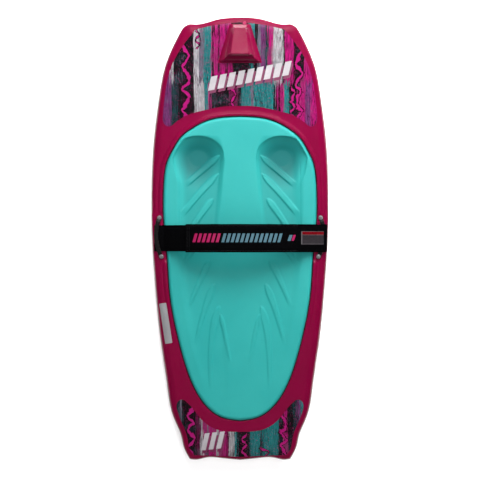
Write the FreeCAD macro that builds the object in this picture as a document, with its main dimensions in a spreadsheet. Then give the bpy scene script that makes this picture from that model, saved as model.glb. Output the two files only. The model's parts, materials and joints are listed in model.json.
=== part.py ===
"""Kneeboard: a foam-filled moulded shell, a moulded knee pad and a hook-and-loop thigh strap.

Millimetres, +Z up, +Y towards the nose, +X to the rider's right. The board lies on the flat
middle of its hull at z = 0, and the origin is under the middle of its length and width.
"""
import FreeCAD, Part
import math
import os
import Sketcher

from FreeCAD import Placement, Rotation, Vector

DIMENSIONS = {
    # board
    "board_length": 1270.5,
    "board_width": 514.4,
    "deck_level": 50.0,
    "nose_rise_start": 150.0,
    "tail_rise_start": -200.0,
    "hull_nose_rise": 64.0,
    "hull_tail_rise": 22.0,
    "deck_nose_rise": 44.0,
    "deck_tail_rise": 4.0,
    "wall": 3.0,
    "rail_extra": 5.0,
    "deck_rounding": 12.0,
    "hull_rounding": 16.0,
    # knee pad and the collar round it
    "pad_length": 873.5,
    "pad_width": 438.0,
    "pad_centre": -83.25,
    "pad_proud": 4.0,
    "pad_rounding": 9.0,
    "recess_floor": 24.0,
    "pad_gap": 2.0,
    "collar_width": 14.0,
    "collar_height": 3.0,
    "knee_spacing": 240.0,
    "knee_front": 231.0,
    "knee_radius": 73.0,
    "knee_depth": 23.0,
    "shin_centre": 40.0,
    "shin_half_length": 250.0,
    "shin_half_width": 58.0,
    "shin_depth": 8.0,
    # tow hook
    "hook_front": 610.0,
    "hook_back": 510.0,
    "hook_front_width": 56.0,
    "hook_back_width": 120.0,
    "hook_crest_front": 601.0,
    "hook_crest_back": 526.0,
    "hook_crest_front_width": 34.0,
    "hook_crest_back_width": 54.0,
    "hook_front_height": 17.0,
    "hook_height": 36.0,
    "hook_sunk": 5.0,
    "hook_seat_radius": 9.0,
    "hook_seat_line": 511.0,
    "hook_seat_height": 15.0,
    # films
    "film_thickness": 0.3,
    "label_width": 16.0,
    "label_length": 117.0,
    "label_x": -215.5,
    "label_y": -232.0,
    "label_tilt": 7.0,
    # strap brackets and their screws
    "bracket_centre": 8.0,
    "bracket_screw_spacing": 112.0,
    "bracket_feet_line": 229.0,
    "bracket_bulge": 12.0,
    "bracket_bar_width": 12.0,
    "bracket_plate": 3.3,
    "bracket_foot_radius": 7.0,
    "bracket_bar_half_length": 45.0,
    "bracket_ramp": 4.5,
    "bracket_tilt": 3.07,
    "screw_head_radius": 5.2,
    "screw_head_height": 3.6,
    "screw_radius": 3.0,
    "screw_length": 15.0,
    "washer_radius": 6.2,
    "washer_thickness": 1.0,
    "insert_radius": 5.0,
    "insert_length": 14.0,
    "screw_boss_radius": 9.0,
    "screw_boss_depth": 19.0,
    "screw_clearance": 4.0,
    # strap
    "strap_centre": 5.0,
    "webbing_width": 75.0,
    "flap_width": 80.0,
    "webbing_thickness": 2.4,
    "fastener_thickness": 1.5,
    "fastener_width": 70.0,
    "fastener_clearance": 0.3,
    "strap_crown": 112.0,
    "strap_flat_end": 225.0,
    "strap_bend": 20.0,
    "strap_reach": 247.0,
    "flap_hinge": 165.0,
    "flap_pitch": 80.0,
    "stitch_width": 1.2,
    "stitch_height": 0.4,
    "patch_start": 170.0,
    "patch_width": 38.0,
    "patch_centre": 6.0,
    "patch_thickness": 0.4,
    # drain and fill plug
    "plug_x": 13.0,
    "plug_from_nose": 19.0,
    "plug_head_radius": 5.5,
    "plug_head_height": 1.6,
    "plug_stem_radius": 3.5,
    "plug_stem_length": 9.0,
    # moulded fins under the tail
    "fin_front": -395.0,
    "fin_length": 170.0,
    "fin_width": 9.0,
    "fin_height": 6.0,
    "fin_front_slope": 60.0,
    "fin_back_slope": 12.0,
    "fin_root": 2.0,
}

FLAP_SEGMENTS = 4
STITCH_GAPS = (4.0, 10.0)
FIN_PLACES = (-0.52, -0.26, 0.26, 0.52)
SIDES = {"left": -1, "right": 1}

# Outlines, right half, in shares of the half width and of the half length.
HULL_FRONT = [(0.0, 1.0), (0.237, 0.993), (0.393, 0.976), (0.463, 0.971), (0.556, 0.972)]
HULL_SIDE = [
    (0.556, 0.972), (0.610, 0.963), (0.667, 0.935), (0.741, 0.880), (0.828, 0.800),
    (0.914, 0.636), (0.968, 0.472), (1.0, 0.200), (0.990, -0.017), (0.953, -0.235),
    (0.898, -0.452), (0.820, -0.669), (0.773, -0.779), (0.723, -0.833), (0.665, -0.888),
    (0.634, -0.941), (0.564, -0.996),
]
HULL_BACK = [(0.0, -1.0), (0.226, -0.991), (0.369, -0.989), (0.494, -0.999), (0.564, -0.996)]
PAD_HALF = [
    (0.0, 1.0), (0.406, 0.976), (0.644, 0.916), (0.781, 0.859), (0.881, 0.779), (0.941, 0.720),
    (0.982, 0.642), (1.0, 0.534), (1.0, 0.323), (0.954, 0.081), (0.922, -0.157), (0.840, -0.396),
    (0.717, -0.631), (0.594, -0.789), (0.406, -0.922), (0.251, -0.975), (0.0, -1.0),
]
NOSE_DECAL_TOP = [(0.0, 0.975), (0.330, 0.959), (0.494, 0.943)]
NOSE_DECAL_SIDE = [(0.494, 0.943), (0.634, 0.872), (0.743, 0.800), (0.840, 0.650), (0.863, 0.557)]
NOSE_DECAL_LOBE = [(0.863, 0.557), (0.844, 0.523), (0.793, 0.513), (0.731, 0.529)]
NOSE_DECAL_ARC = [(0.0, 0.606), (0.370, 0.589), (0.642, 0.554), (0.731, 0.529)]
TAIL_DECAL_TOP = [(0.0, -0.869), (0.295, -0.853), (0.447, -0.806), (0.622, -0.726)]
TAIL_DECAL_SIDE = [(0.622, -0.726), (0.708, -0.743), (0.657, -0.823), (0.587, -0.902), (0.548, -0.964)]
TAIL_DECAL_BACK = [(0.0, -0.983), (0.416, -0.976), (0.548, -0.964)]

doc = FreeCAD.newDocument("Kneeboard")
dims = doc.addObject("Spreadsheet::Sheet", "Dims")
for row, (alias, size) in enumerate(DIMENSIONS.items(), start=1):
    dims.set(f"A{row}", alias.replace("_", " "))
    dims.set(f"B{row}", str(size))
    dims.setAlias(f"B{row}", alias)
doc.recompute()

subparts = []


def size_of(name):
    """A driving dimension, read from the sheet."""
    return float(getattr(dims, name))


def keep(obj, label, placement=None):
    """Name a finished sub-part, place it and put it on the list that is written."""
    obj.Label = label
    if placement is not None:
        obj.Placement = placement
    subparts.append(obj)
    return obj


def free_form(label, shape, placement=Placement()):
    """A sub-part whose shape comes from outlines and rockers, which no single feature makes."""
    obj = doc.addObject("Part::Feature", "shape_" + label)
    obj.Shape = shape
    return keep(obj, label, placement)


# ---------------------------------------------------------------- outlines and side lines

HALF_LENGTH = size_of("board_length") / 2
HALF_WIDTH = size_of("board_width") / 2
MARGIN = 20.0
TOUCH = 0.05


def spline(points):
    """A smooth edge through plan points."""
    curve = Part.BSplineCurve()
    curve.interpolate([Vector(x, y, 0) for x, y in points])
    return curve.toShape()


def scaled(points, half_width, half_length, centre=0.0):
    return [(x * half_width, centre + y * half_length) for x, y in points]


def mirrored(points):
    return [(-x, y) for x, y in reversed(points)]


def prism(edges, low, high):
    """A plan outline stood up as a solid between two levels."""
    face = Part.Face(Part.Wire(Part.__sortEdges__(edges)))
    face.translate(Vector(0, 0, low))
    return face.extrude(Vector(0, 0, high - low))


def hull_prism(inset, low, high):
    """The board's plan outline, drawn in by an inset all round."""
    width = HALF_WIDTH - inset
    length = HALF_LENGTH - inset
    front = scaled(HULL_FRONT, width, length)
    side = scaled(HULL_SIDE, width, length)
    back = scaled(HULL_BACK, width, length)
    edges = [
        spline(mirrored(front)[:-1] + front),
        spline(side),
        spline(mirrored(back)[:-1] + back),
        spline(mirrored(side)),
    ]
    return prism(edges, low, high)


def pad_prism(grow, low, high):
    """The pad's plan outline, grown all round."""
    half_width = size_of("pad_width") / 2 + grow
    half_length = size_of("pad_length") / 2 + grow
    half = scaled(PAD_HALF, half_width, half_length, size_of("pad_centre"))
    loop = half + mirrored(half)[1:-1]
    curve = Part.BSplineCurve()
    curve.interpolate(Points=[Vector(x, y, 0) for x, y in loop], PeriodicFlag=True)
    return prism([curve.toShape()], low, high)


def rocker(distance, run, rise):
    """Height of a circular rocker at a distance from its start, rising by rise over its run."""
    radius = (run ** 2 + rise ** 2) / (2 * rise)
    return radius - math.sqrt(radius ** 2 - distance ** 2)


def side_level(y, level, tail_rise, nose_rise):
    """Height of a side-view line that is flat in the middle and rocks up at both ends."""
    nose_start = size_of("nose_rise_start")
    tail_start = size_of("tail_rise_start")
    if y > nose_start:
        return level + rocker(y - nose_start, HALF_LENGTH - nose_start, nose_rise)
    if y < tail_start:
        return level + rocker(tail_start - y, HALF_LENGTH + tail_start, tail_rise)
    return level


def hull_level(y, offset=0.0):
    return side_level(y, offset, size_of("hull_tail_rise"), size_of("hull_nose_rise"))


def deck_level(y, offset=0.0):
    level = size_of("deck_level") + offset
    return side_level(y, level, size_of("deck_tail_rise"), size_of("deck_nose_rise"))


def side_line(level_at):
    """Tail arc, flat and nose arc of one side-view line, in the plane x = 0."""
    tail_end = -HALF_LENGTH - MARGIN
    nose_end = HALF_LENGTH + MARGIN
    tail_start = size_of("tail_rise_start")
    nose_start = size_of("nose_rise_start")

    def point(y):
        return Vector(0, y, level_at(y))

    return [
        Part.Arc(point(tail_end), point((tail_end + tail_start) / 2), point(tail_start)).toShape(),
        Part.LineSegment(point(tail_start), point(nose_start)).toShape(),
        Part.Arc(point(nose_start), point((nose_start + nose_end) / 2), point(nose_end)).toShape(),
    ]


def slab(lower_at, upper_at):
    """The space between two side-view lines, wider than the board."""
    ends = []
    for y in (-HALF_LENGTH - MARGIN, HALF_LENGTH + MARGIN):
        ends.append(Part.LineSegment(Vector(0, y, lower_at(y)), Vector(0, y, upper_at(y))).toShape())
    edges = side_line(lower_at) + side_line(upper_at) + ends
    face = Part.Face(Part.Wire(Part.__sortEdges__(edges)))
    reach = HALF_WIDTH + MARGIN
    face.translate(Vector(-reach, 0, 0))
    return face.extrude(Vector(2 * reach, 0, 0))


def deck_slab(low, high):
    """A layer that follows the deck, between two heights above it."""
    return slab(lambda y: deck_level(y, low), lambda y: deck_level(y, high))


TOP = size_of("strap_crown") + MARGIN


# ---------------------------------------------------------------- board

def rounded_hull():
    """The outer body: plan outline and side lines crossed, with rounded rails."""
    body = hull_prism(0.0, -MARGIN, TOP).common(slab(hull_level, deck_level)).Solids[0]
    deck_edges = outline_edges(body, deck_level)
    hull_edges = outline_edges(body, hull_level)
    body = body.makeFillet(size_of("deck_rounding"), deck_edges)
    return body.makeFillet(size_of("hull_rounding"), hull_edges)


def outline_edges(body, level_at):
    """Edges of a body that run along its plan outline on one side-view line."""
    found = []
    for edge in body.Edges:
        middle = edge.valueAt((edge.FirstParameter + edge.LastParameter) / 2)
        points = [vertex.Point for vertex in edge.Vertexes] + [middle]
        on_level = all(abs(p.z - level_at(p.y)) < TOUCH for p in points)
        across = all(abs(p.y - middle.y) < TOUCH / 5 for p in points)
        if on_level and not across:
            found.append(edge)
    return found


def screw_places(side):
    """Where a bracket's two screws stand, on the deck."""
    tilt = math.radians(size_of("bracket_tilt"))
    half = size_of("bracket_screw_spacing") / 2
    places = []
    for along in (half, -half):
        x = size_of("bracket_feet_line") + along * math.sin(tilt)
        y = size_of("bracket_centre") + along * math.cos(tilt)
        places.append(Vector(side * x, y, size_of("deck_level")))
    return places


def plug_place():
    """The drain plug stands square to the rising nose, just ahead of the tow hook."""
    y = HALF_LENGTH - size_of("plug_from_nose")
    slope = math.degrees(math.atan2(deck_level(y + 1) - deck_level(y), 1.0))
    return Placement(Vector(size_of("plug_x"), y, deck_level(y)), Rotation(Vector(1, 0, 0), slope))


def plug_hole():
    hole = Part.makeCylinder(size_of("plug_stem_radius"), 2 * size_of("plug_stem_length"))
    hole.translate(Vector(0, 0, -size_of("plug_stem_length")))
    hole.Placement = plug_place().multiply(hole.Placement)
    return hole


def tow_hook():
    """A wedge that rises towards the rider, with a hollow for the rope across its back."""
    sunk = size_of("hook_sunk")
    foot = hook_corners(
        (size_of("hook_front"), size_of("hook_front_width"), -sunk),
        (size_of("hook_back"), size_of("hook_back_width"), -sunk),
    )
    crest = hook_corners(
        (size_of("hook_crest_front"), size_of("hook_crest_front_width"), size_of("hook_front_height")),
        (size_of("hook_crest_back"), size_of("hook_crest_back_width"), size_of("hook_height")),
    )
    wedge = Part.makeLoft([Part.makePolygon(corners + corners[:1]) for corners in (foot, crest)], True, True)
    reach = size_of("hook_back_width")
    height = deck_level(size_of("hook_back")) + size_of("hook_seat_height")
    start = Vector(-reach, size_of("hook_seat_line"), height)
    return wedge.cut(Part.makeCylinder(size_of("hook_seat_radius"), 2 * reach, start, Vector(1, 0, 0)))


def hook_corners(*ends):
    """Four corners, clockwise from above, from the place, width and height above the deck of two ends."""
    (front, front_width, front_rise), (back, back_width, back_rise) = ends
    front_level = deck_level(front) + front_rise
    back_level = deck_level(back) + back_rise
    return [
        Vector(-front_width / 2, front, front_level),
        Vector(front_width / 2, front, front_level),
        Vector(back_width / 2, back, back_level),
        Vector(-back_width / 2, back, back_level),
    ]


def tail_fins():
    """Four shallow moulded fins under the tail."""
    front = size_of("fin_front")
    back = front - size_of("fin_length")
    root = size_of("fin_root")
    height = size_of("fin_height")
    width = size_of("fin_width")
    crest_front = front - size_of("fin_front_slope")
    crest_back = back + size_of("fin_back_slope")
    fins = []
    for share in FIN_PLACES:
        x = share * HALF_WIDTH - width / 2
        outline = [
            Vector(x, front, hull_level(front) + root),
            Vector(x, crest_front, hull_level(crest_front) - height),
            Vector(x, crest_back, hull_level(crest_back) - height),
            Vector(x, back, hull_level(back) + root),
        ]
        face = Part.Face(Part.makePolygon(outline + outline[:1]))
        fins.append(face.extrude(Vector(width, 0, 0)))
    return fins


def core_shape():
    """The foam: everything inside the wall, round the pad recess and the screw bosses."""
    wall = size_of("wall")
    inside = hull_prism(wall + size_of("rail_extra"), -MARGIN, TOP).common(
        slab(lambda y: hull_level(y, wall), lambda y: deck_level(y, -wall))
    )
    recess = pad_prism(size_of("pad_gap") + wall, size_of("recess_floor") - wall, TOP)
    inside = inside.cut(recess)
    for side in SIDES.values():
        for place in screw_places(side):
            depth = size_of("screw_boss_depth")
            boss = Part.makeCylinder(size_of("screw_boss_radius"), depth, place - Vector(0, 0, depth))
            inside = inside.cut(boss)
    return inside.cut(plug_hole()).Solids[0]


def collar_shape():
    """The raised lip round the pad, let down at the brackets."""
    outer = pad_prism(size_of("pad_gap") + size_of("collar_width"), 0.0, TOP)
    lip = outer.common(deck_slab(-2.0, size_of("collar_height")))
    reach = size_of("bracket_screw_spacing") / 2 + size_of("bracket_foot_radius") + size_of("screw_clearance")
    inside = size_of("pad_width") / 2 - MARGIN
    for side in SIDES.values():
        corner = Vector(min(side * inside, side * (inside + 4 * MARGIN)), size_of("bracket_centre") - reach,
                        size_of("deck_level"))
        lip = lip.cut(Part.makeBox(4 * MARGIN, 2 * reach, MARGIN, corner))
    return lip


def shell_shape(core):
    shell = rounded_hull().fuse([collar_shape(), tow_hook()] + tail_fins())
    shell = shell.cut(pad_prism(size_of("pad_gap"), size_of("recess_floor"), TOP))
    shell = shell.cut([core, plug_hole()])
    for side in SIDES.values():
        for place in screw_places(side):
            depth = size_of("insert_length") + 1.0
            bore = Part.makeCylinder(size_of("insert_radius"), depth, place - Vector(0, 0, depth))
            shell = shell.cut(bore)
    return shell.Solids[0]


# ---------------------------------------------------------------- knee pad

def pad_shape():
    """A thick moulded pad with two knee wells that run out into shin channels."""
    pad = pad_prism(0.0, size_of("recess_floor"), TOP)
    pad = pad.common(slab(hull_level, lambda y: deck_level(y, size_of("pad_proud"))))
    pad = pad.Solids[0]
    rim = outline_edges(pad, lambda y: deck_level(y, size_of("pad_proud")))
    pad = pad.makeFillet(size_of("pad_rounding"), rim)
    for side in SIDES.values():
        x = side * size_of("knee_spacing") / 2
        y = size_of("knee_front")
        pad = pad.cut(bowl(x, y, size_of("knee_radius"), size_of("knee_radius"), size_of("knee_depth")))
        pad = pad.cut(
            bowl(x, size_of("shin_centre"), size_of("shin_half_width"), size_of("shin_half_length"),
                 size_of("shin_depth"))
        )
    return pad.Solids[0]


def bowl(x, y, half_x, half_y, depth):
    """The lower half of an ellipsoid whose rim lies on the pad's top."""
    matrix = FreeCAD.Matrix()
    matrix.scale(half_x, half_y, depth)
    matrix.move(Vector(x, y, deck_level(y, size_of("pad_proud"))))
    return Part.makeSphere(1.0).transformGeometry(matrix)


# ---------------------------------------------------------------- films

def film(stretches, holes=()):
    """A printed film on the deck inside a plan outline that is the same on both sides."""
    edges = []
    for points in stretches:
        half = scaled(points, HALF_WIDTH, HALF_LENGTH)
        if half[0][0] == 0.0:
            edges.append(spline(mirrored(half)[:-1] + half))
        else:
            edges.append(spline(half))
            edges.append(spline(mirrored(half)))
    layer = prism(edges, 0.0, TOP).common(deck_slab(0.0, size_of("film_thickness")))
    for hole in holes:
        layer = layer.cut(hole)
    return layer.Solids[0]


def side_label():
    """A plain label along the left rail, on the flat between the collar and the rounded edge."""
    width = size_of("label_width")
    length = size_of("label_length")
    block = Part.makeBox(width, length, TOP, Vector(-width / 2, -length / 2, 0))
    block.Placement = Placement(Vector(size_of("label_x"), size_of("label_y"), 0),
                                Rotation(Vector(0, 0, 1), size_of("label_tilt"))).multiply(block.Placement)
    return block.common(deck_slab(0.0, size_of("film_thickness"))).Solids[0]


# ---------------------------------------------------------------- strap

def strap_geometry():
    """Slope where the arch begins, its radius and the height of its centre."""
    rise = size_of("strap_crown") - size_of("deck_level")
    slope = 2 * math.atan(rise / size_of("strap_flat_end"))
    radius = size_of("strap_flat_end") / math.sin(slope) - size_of("strap_bend")
    return slope, radius, size_of("strap_crown") - radius


def strap_line(offset):
    """One surface of the strap, from bracket to bracket, at an offset above its underside."""
    slope, radius, centre = strap_geometry()
    base = size_of("deck_level")
    flat_end = size_of("strap_flat_end")
    bend = size_of("strap_bend")

    def on_bend(side, angle):
        x = flat_end - (bend - offset) * math.sin(angle)
        return Vector(side * x, 0, base + bend - (bend - offset) * math.cos(angle))

    edges = []
    for side in SIDES.values():
        end = Vector(side * size_of("strap_reach"), 0, base + offset)
        edges.append(Part.LineSegment(end, on_bend(side, 0.0)).toShape())
        edges.append(Part.Arc(on_bend(side, 0.0), on_bend(side, slope / 2), on_bend(side, slope)).toShape())
    crown = Vector(0, 0, centre + radius + offset)
    edges.append(Part.Arc(on_bend(-1, slope), crown, on_bend(1, slope)).toShape())
    return edges


def strap_layer(low, high, width, centre=size_of("strap_centre")):
    """A layer of the strap between two offsets, from bracket to bracket."""
    base = size_of("deck_level")
    edges = strap_line(low) + strap_line(high)
    for side in SIDES.values():
        x = side * size_of("strap_reach")
        edges.append(Part.LineSegment(Vector(x, 0, base + low), Vector(x, 0, base + high)).toShape())
    face = Part.Face(Part.Wire(Part.__sortEdges__(edges)))
    face.translate(Vector(0, centre - width / 2, 0))
    return face.extrude(Vector(0, width, 0))


def strap_top():
    """Offset of the strap's upper surface: webbing, both halves of the fastener and webbing."""
    return 2 * (size_of("webbing_thickness") + size_of("fastener_thickness")) + size_of("fastener_clearance")


def hinge_angle(index):
    """Where the index-th flap joint stands on the arch, as an angle from the crown."""
    _, radius, _ = strap_geometry()
    x = size_of("flap_hinge") - index * size_of("flap_pitch")
    return math.asin(x / (radius + strap_top()))


def wedge(from_angle, to_angle):
    """A sector of the arch between two angles, for cutting a layer square to its surface."""
    _, radius, centre = strap_geometry()
    reach = size_of("flap_width")
    apex = Vector(0, -reach, centre)
    far = 1.5 * radius
    corners = [apex]
    for angle in (from_angle, to_angle):
        corners.append(apex + Vector(far * math.sin(angle), 0, far * math.cos(angle)))
    return Part.Face(Part.makePolygon(corners + corners[:1])).extrude(Vector(0, 2 * reach, 0))


def webbing_shape():
    """The fixed webbing: under both bars, over the arch and back over the right bar."""
    thick = size_of("webbing_thickness")
    top = strap_top()
    lower = strap_layer(0.0, thick, size_of("webbing_width"))
    upper = strap_layer(top - thick, top, size_of("flap_width")).common(wedge(hinge_angle(0), math.pi / 2))
    return lower.fuse([upper, strap_fold()]).removeSplitter().Solids[0]


def strap_fold():
    """The half turn in which the webbing goes round the right bar."""
    thick = size_of("webbing_thickness")
    top = strap_top()
    width = size_of("webbing_width")
    base = size_of("deck_level")
    edge = size_of("strap_centre") - width / 2
    start = Vector(size_of("strap_reach"), edge, base + top / 2)
    outer = Part.makeCylinder(top / 2, width, start, Vector(0, 1, 0))
    inner = Part.makeCylinder(top / 2 - thick, width, start, Vector(0, 1, 0))
    outside = Part.makeBox(top, width, top, Vector(size_of("strap_reach"), edge, base))
    return outer.cut(inner).common(outside)


def fastener_band(low, first, last):
    """Half of the hook-and-loop fastener between two angles of the arch."""
    layer = strap_layer(low, low + size_of("fastener_thickness"), size_of("fastener_width"))
    return layer.common(wedge(first, last)).Solids[0]


# ---------------------------------------------------------------- turned pieces

def turned_body(name, profile):
    """A PartDesign body turned about Z from a profile of (radius, height) cell formulas."""
    body = doc.addObject("PartDesign::Body", name)
    sketch = body.newObject("Sketcher::SketchObject", name + "_profile")
    plane = [o for o in body.Origin.OriginFeatures if o.Role == "XZ_Plane"][0]
    sketch.AttachmentSupport = [(plane, "")]
    sketch.MapMode = "FlatFace"
    points = [Vector(*[float(dims.evalExpression(cell)) for cell in corner], 0) for corner in profile]
    count = len(points)
    for index, start in enumerate(points):
        sketch.addGeometry(Part.LineSegment(start, points[(index + 1) % count]), False)
    for index in range(count):
        sketch.addConstraint(Sketcher.Constraint("Coincident", index, 2, (index + 1) % count, 1))
    for index, corner in enumerate(profile):
        for kind, axis, cell, value in zip(("DistanceX", "DistanceY"), (-2, -1), corner, points[index]):
            if value == 0:
                sketch.addConstraint(Sketcher.Constraint("PointOnObject", index, 1, axis))
                continue
            place = sketch.addConstraint(Sketcher.Constraint(kind, -1, 1, index, 1, value))
            sketch.setExpression(f"Constraints[{place}]", cell)
    turn = body.newObject("PartDesign::Revolution", name + "_turn")
    turn.Profile = sketch
    turn.ReferenceAxis = (sketch, ["V_Axis"])
    turn.Angle = 360
    return body


def copies(label, body, places):
    """One node that holds the same turned piece at each of several places."""
    pieces = []
    for index, place in enumerate(places):
        link = doc.addObject("Part::Feature", f"{label}_{index}")
        link.Shape = body.Shape
        link.Placement = place
        pieces.append(link)
    group = doc.addObject("Part::Compound", "group_" + label)
    group.Links = pieces
    return keep(group, label)


def add_screws():
    """Screws, washers and inserts, two of each to a bracket."""
    screw = turned_body("screw", [
        ("0", "0"),
        ("Dims.screw_radius", "0"),
        ("Dims.screw_radius", "Dims.screw_length"),
        ("Dims.screw_head_radius", "Dims.screw_length"),
        ("Dims.screw_head_radius", "Dims.screw_length + Dims.screw_head_height * 0.4"),
        ("Dims.screw_head_radius * 0.6", "Dims.screw_length + Dims.screw_head_height"),
        ("0", "Dims.screw_length + Dims.screw_head_height"),
    ])
    washer = turned_body("washer", [
        ("Dims.screw_radius + 0.05", "0"),
        ("Dims.washer_radius", "0"),
        ("Dims.washer_radius", "Dims.washer_thickness"),
        ("Dims.screw_radius + 0.05", "Dims.washer_thickness"),
    ])
    insert = turned_body("insert", [
        ("Dims.screw_radius", "0"),
        ("Dims.insert_radius", "0"),
        ("Dims.insert_radius", "Dims.insert_length"),
        ("Dims.screw_radius", "Dims.insert_length"),
    ])
    doc.recompute()
    plate_top = size_of("bracket_plate")
    head_seat = plate_top + size_of("washer_thickness") - size_of("screw_length")
    for name, side in SIDES.items():
        spots = screw_places(side)
        for label, body, lift in (
            ("bracket_screws_", screw, head_seat),
            ("bracket_washers_", washer, plate_top),
            ("threaded_inserts_", insert, -size_of("insert_length")),
        ):
            copies(label + name, body, [Placement(p + Vector(0, 0, lift), Rotation()) for p in spots])


def add_plug():
    plug = turned_body("plug", [
        ("0", "0"),
        ("Dims.plug_stem_radius", "0"),
        ("Dims.plug_stem_radius", "Dims.plug_stem_length"),
        ("Dims.plug_head_radius", "Dims.plug_stem_length"),
        ("Dims.plug_head_radius * 0.8", "Dims.plug_stem_length + Dims.plug_head_height"),
        ("0", "Dims.plug_stem_length + Dims.plug_head_height"),
    ])
    lift = Placement(Vector(0, 0, -size_of("plug_stem_length")), Rotation())
    keep(plug, "drain_plug", plug_place().multiply(lift))


# ---------------------------------------------------------------- brackets

def primitive(kind, name, cells, placement):
    """A Part primitive with its sizes bound to the sheet."""
    obj = doc.addObject("Part::" + kind, name)
    for prop, cell in cells.items():
        obj.setExpression(prop, cell)
    obj.Placement = placement
    return obj


def at(x, y, z):
    return Placement(Vector(x, y, z), Rotation())


def combine(kind, name, shapes):
    obj = doc.addObject("Part::" + kind, name)
    obj.Shapes = shapes
    return obj


def cut(name, base, tool):
    obj = doc.addObject("Part::Cut", name)
    obj.Base = base
    obj.Tool = tool
    return obj


def add_bracket(name, side):
    """A bowed steel strip: two feet on the deck and a raised bar that the webbing runs under."""
    chord = size_of("bracket_screw_spacing") / 2
    bulge = size_of("bracket_bulge")
    bow = (chord ** 2 + bulge ** 2) / (2 * bulge)
    plate = size_of("bracket_plate")
    lift = size_of("webbing_thickness")
    middle = size_of("bracket_bar_half_length")
    ramp = middle + size_of("bracket_ramp")
    half_width = size_of("bracket_bar_width") / 2
    radius = "(Dims.bracket_screw_spacing^2 / 4 + Dims.bracket_bulge^2) / (2 * Dims.bracket_bulge)"
    tall = {"Height": "Dims.bracket_plate + Dims.webbing_thickness"}
    centre = at(bulge - bow, 0, 0)
    outer = primitive("Cylinder", f"bow_outer_{name}", {"Radius": radius + " + Dims.bracket_bar_width / 2", **tall},
                      centre)
    inner = primitive("Cylinder", f"bow_inner_{name}", {"Radius": radius + " - Dims.bracket_bar_width / 2", **tall},
                      centre)
    ring = cut(f"bow_{name}", outer, inner)
    steps = []
    for number, (low_y, high_y, low_z, high_z) in enumerate((
        (-middle, middle, lift, lift + plate),
        (middle, ramp, 0, lift + plate),
        (-ramp, -middle, 0, lift + plate),
        (ramp, chord, 0, plate),
        (-chord, -ramp, 0, plate),
    )):
        step = doc.addObject("Part::Box", f"step_{name}_{number}")
        step.Length = bulge + 4 * half_width
        step.Width = high_y - low_y
        step.Height = high_z - low_z
        step.Placement = at(-2 * half_width, low_y, low_z)
        steps.append(step)
    strip = combine("MultiCommon", f"strip_{name}", [ring, combine("MultiFuse", f"joggle_{name}", steps)])
    feet = []
    holes = []
    for index, y in enumerate((chord, -chord)):
        feet.append(primitive("Cylinder", f"foot_{name}_{index}",
                              {"Radius": "Dims.bracket_foot_radius", "Height": "Dims.bracket_plate"}, at(0, y, 0)))
        holes.append(primitive("Cylinder", f"hole_{name}_{index}",
                               {"Radius": "Dims.screw_radius + 0.05", "Height": "Dims.bracket_plate * 3"},
                               at(0, y, -plate)))
    blank = combine("MultiFuse", f"blank_{name}", [strip] + feet)
    done = cut(f"bracket_{name}", blank, combine("MultiFuse", f"holes_{name}", holes))
    turn = -size_of("bracket_tilt") if side > 0 else 180 + size_of("bracket_tilt")
    place = Vector(side * size_of("bracket_feet_line"), size_of("bracket_centre"), size_of("deck_level"))
    keep(done, f"strap_bracket_{name}", Placement(place, Rotation(Vector(0, 0, 1), turn)))


# ---------------------------------------------------------------- assembly

def add_board():
    core = core_shape()
    free_form("shell", shell_shape(core))
    free_form("foam_core", core)
    free_form("knee_pad", pad_shape())
    hook_foot = tow_hook()
    free_form("nose_decal", film([NOSE_DECAL_TOP, NOSE_DECAL_SIDE, NOSE_DECAL_LOBE, NOSE_DECAL_ARC], [hook_foot]))
    free_form("tail_decal", film([TAIL_DECAL_TOP, TAIL_DECAL_SIDE, TAIL_DECAL_BACK]))
    free_form("side_label", side_label())


def add_strap():
    thick = size_of("webbing_thickness")
    fastener = size_of("fastener_thickness")
    top = strap_top()
    free_form("strap_webbing", webbing_shape())
    free_form("strap_loop_pile", fastener_band(thick, hinge_angle(FLAP_SEGMENTS), hinge_angle(0)))
    for index in range(FLAP_SEGMENTS):
        span = (hinge_angle(index + 1), hinge_angle(index))
        flap = strap_layer(top - thick, top, size_of("flap_width")).common(wedge(*span)).Solids[0]
        free_form(f"strap_flap_{index + 1}", flap)
        free_form(f"strap_hooks_{index + 1}", fastener_band(top - thick - fastener, *span))
    free_form("strap_label_patch", label_patch())
    free_form("flap_end_stitching", end_stitching())


def label_patch():
    """A sewn patch on the fixed part of the top layer, beside the right bar."""
    top = strap_top()
    width = size_of("patch_width")
    centre = size_of("patch_centre")
    start = size_of("patch_start")
    layer = strap_layer(top, top + size_of("patch_thickness"), width, centre)
    block = Part.makeBox(size_of("strap_reach") - start, width, TOP, Vector(start, centre - width / 2, 0))
    return layer.common(block).Solids[0]


def end_stitching():
    """Rows of stitches across the flap's free end."""
    top = strap_top()
    _, radius, _ = strap_geometry()
    layer = strap_layer(top, top + size_of("stitch_height"), size_of("fastener_width"))
    rows = []
    for gap in STITCH_GAPS:
        start = hinge_angle(FLAP_SEGMENTS) + gap / (radius + top)
        rows.append(layer.common(wedge(start, start + size_of("stitch_width") / radius)).Solids[0])
    return Part.makeCompound(rows)


def check():
    """Stop if any object failed to build or any sub-part is empty or broken."""
    for obj in doc.Objects:
        if "Invalid" in obj.State or "Error" in obj.State:
            raise RuntimeError(f"{obj.Label} failed to build: {obj.State}")
    for obj in subparts:
        if obj.Shape.isNull() or not obj.Shape.isValid():
            raise RuntimeError(f"{obj.Label} has no valid shape")


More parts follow.
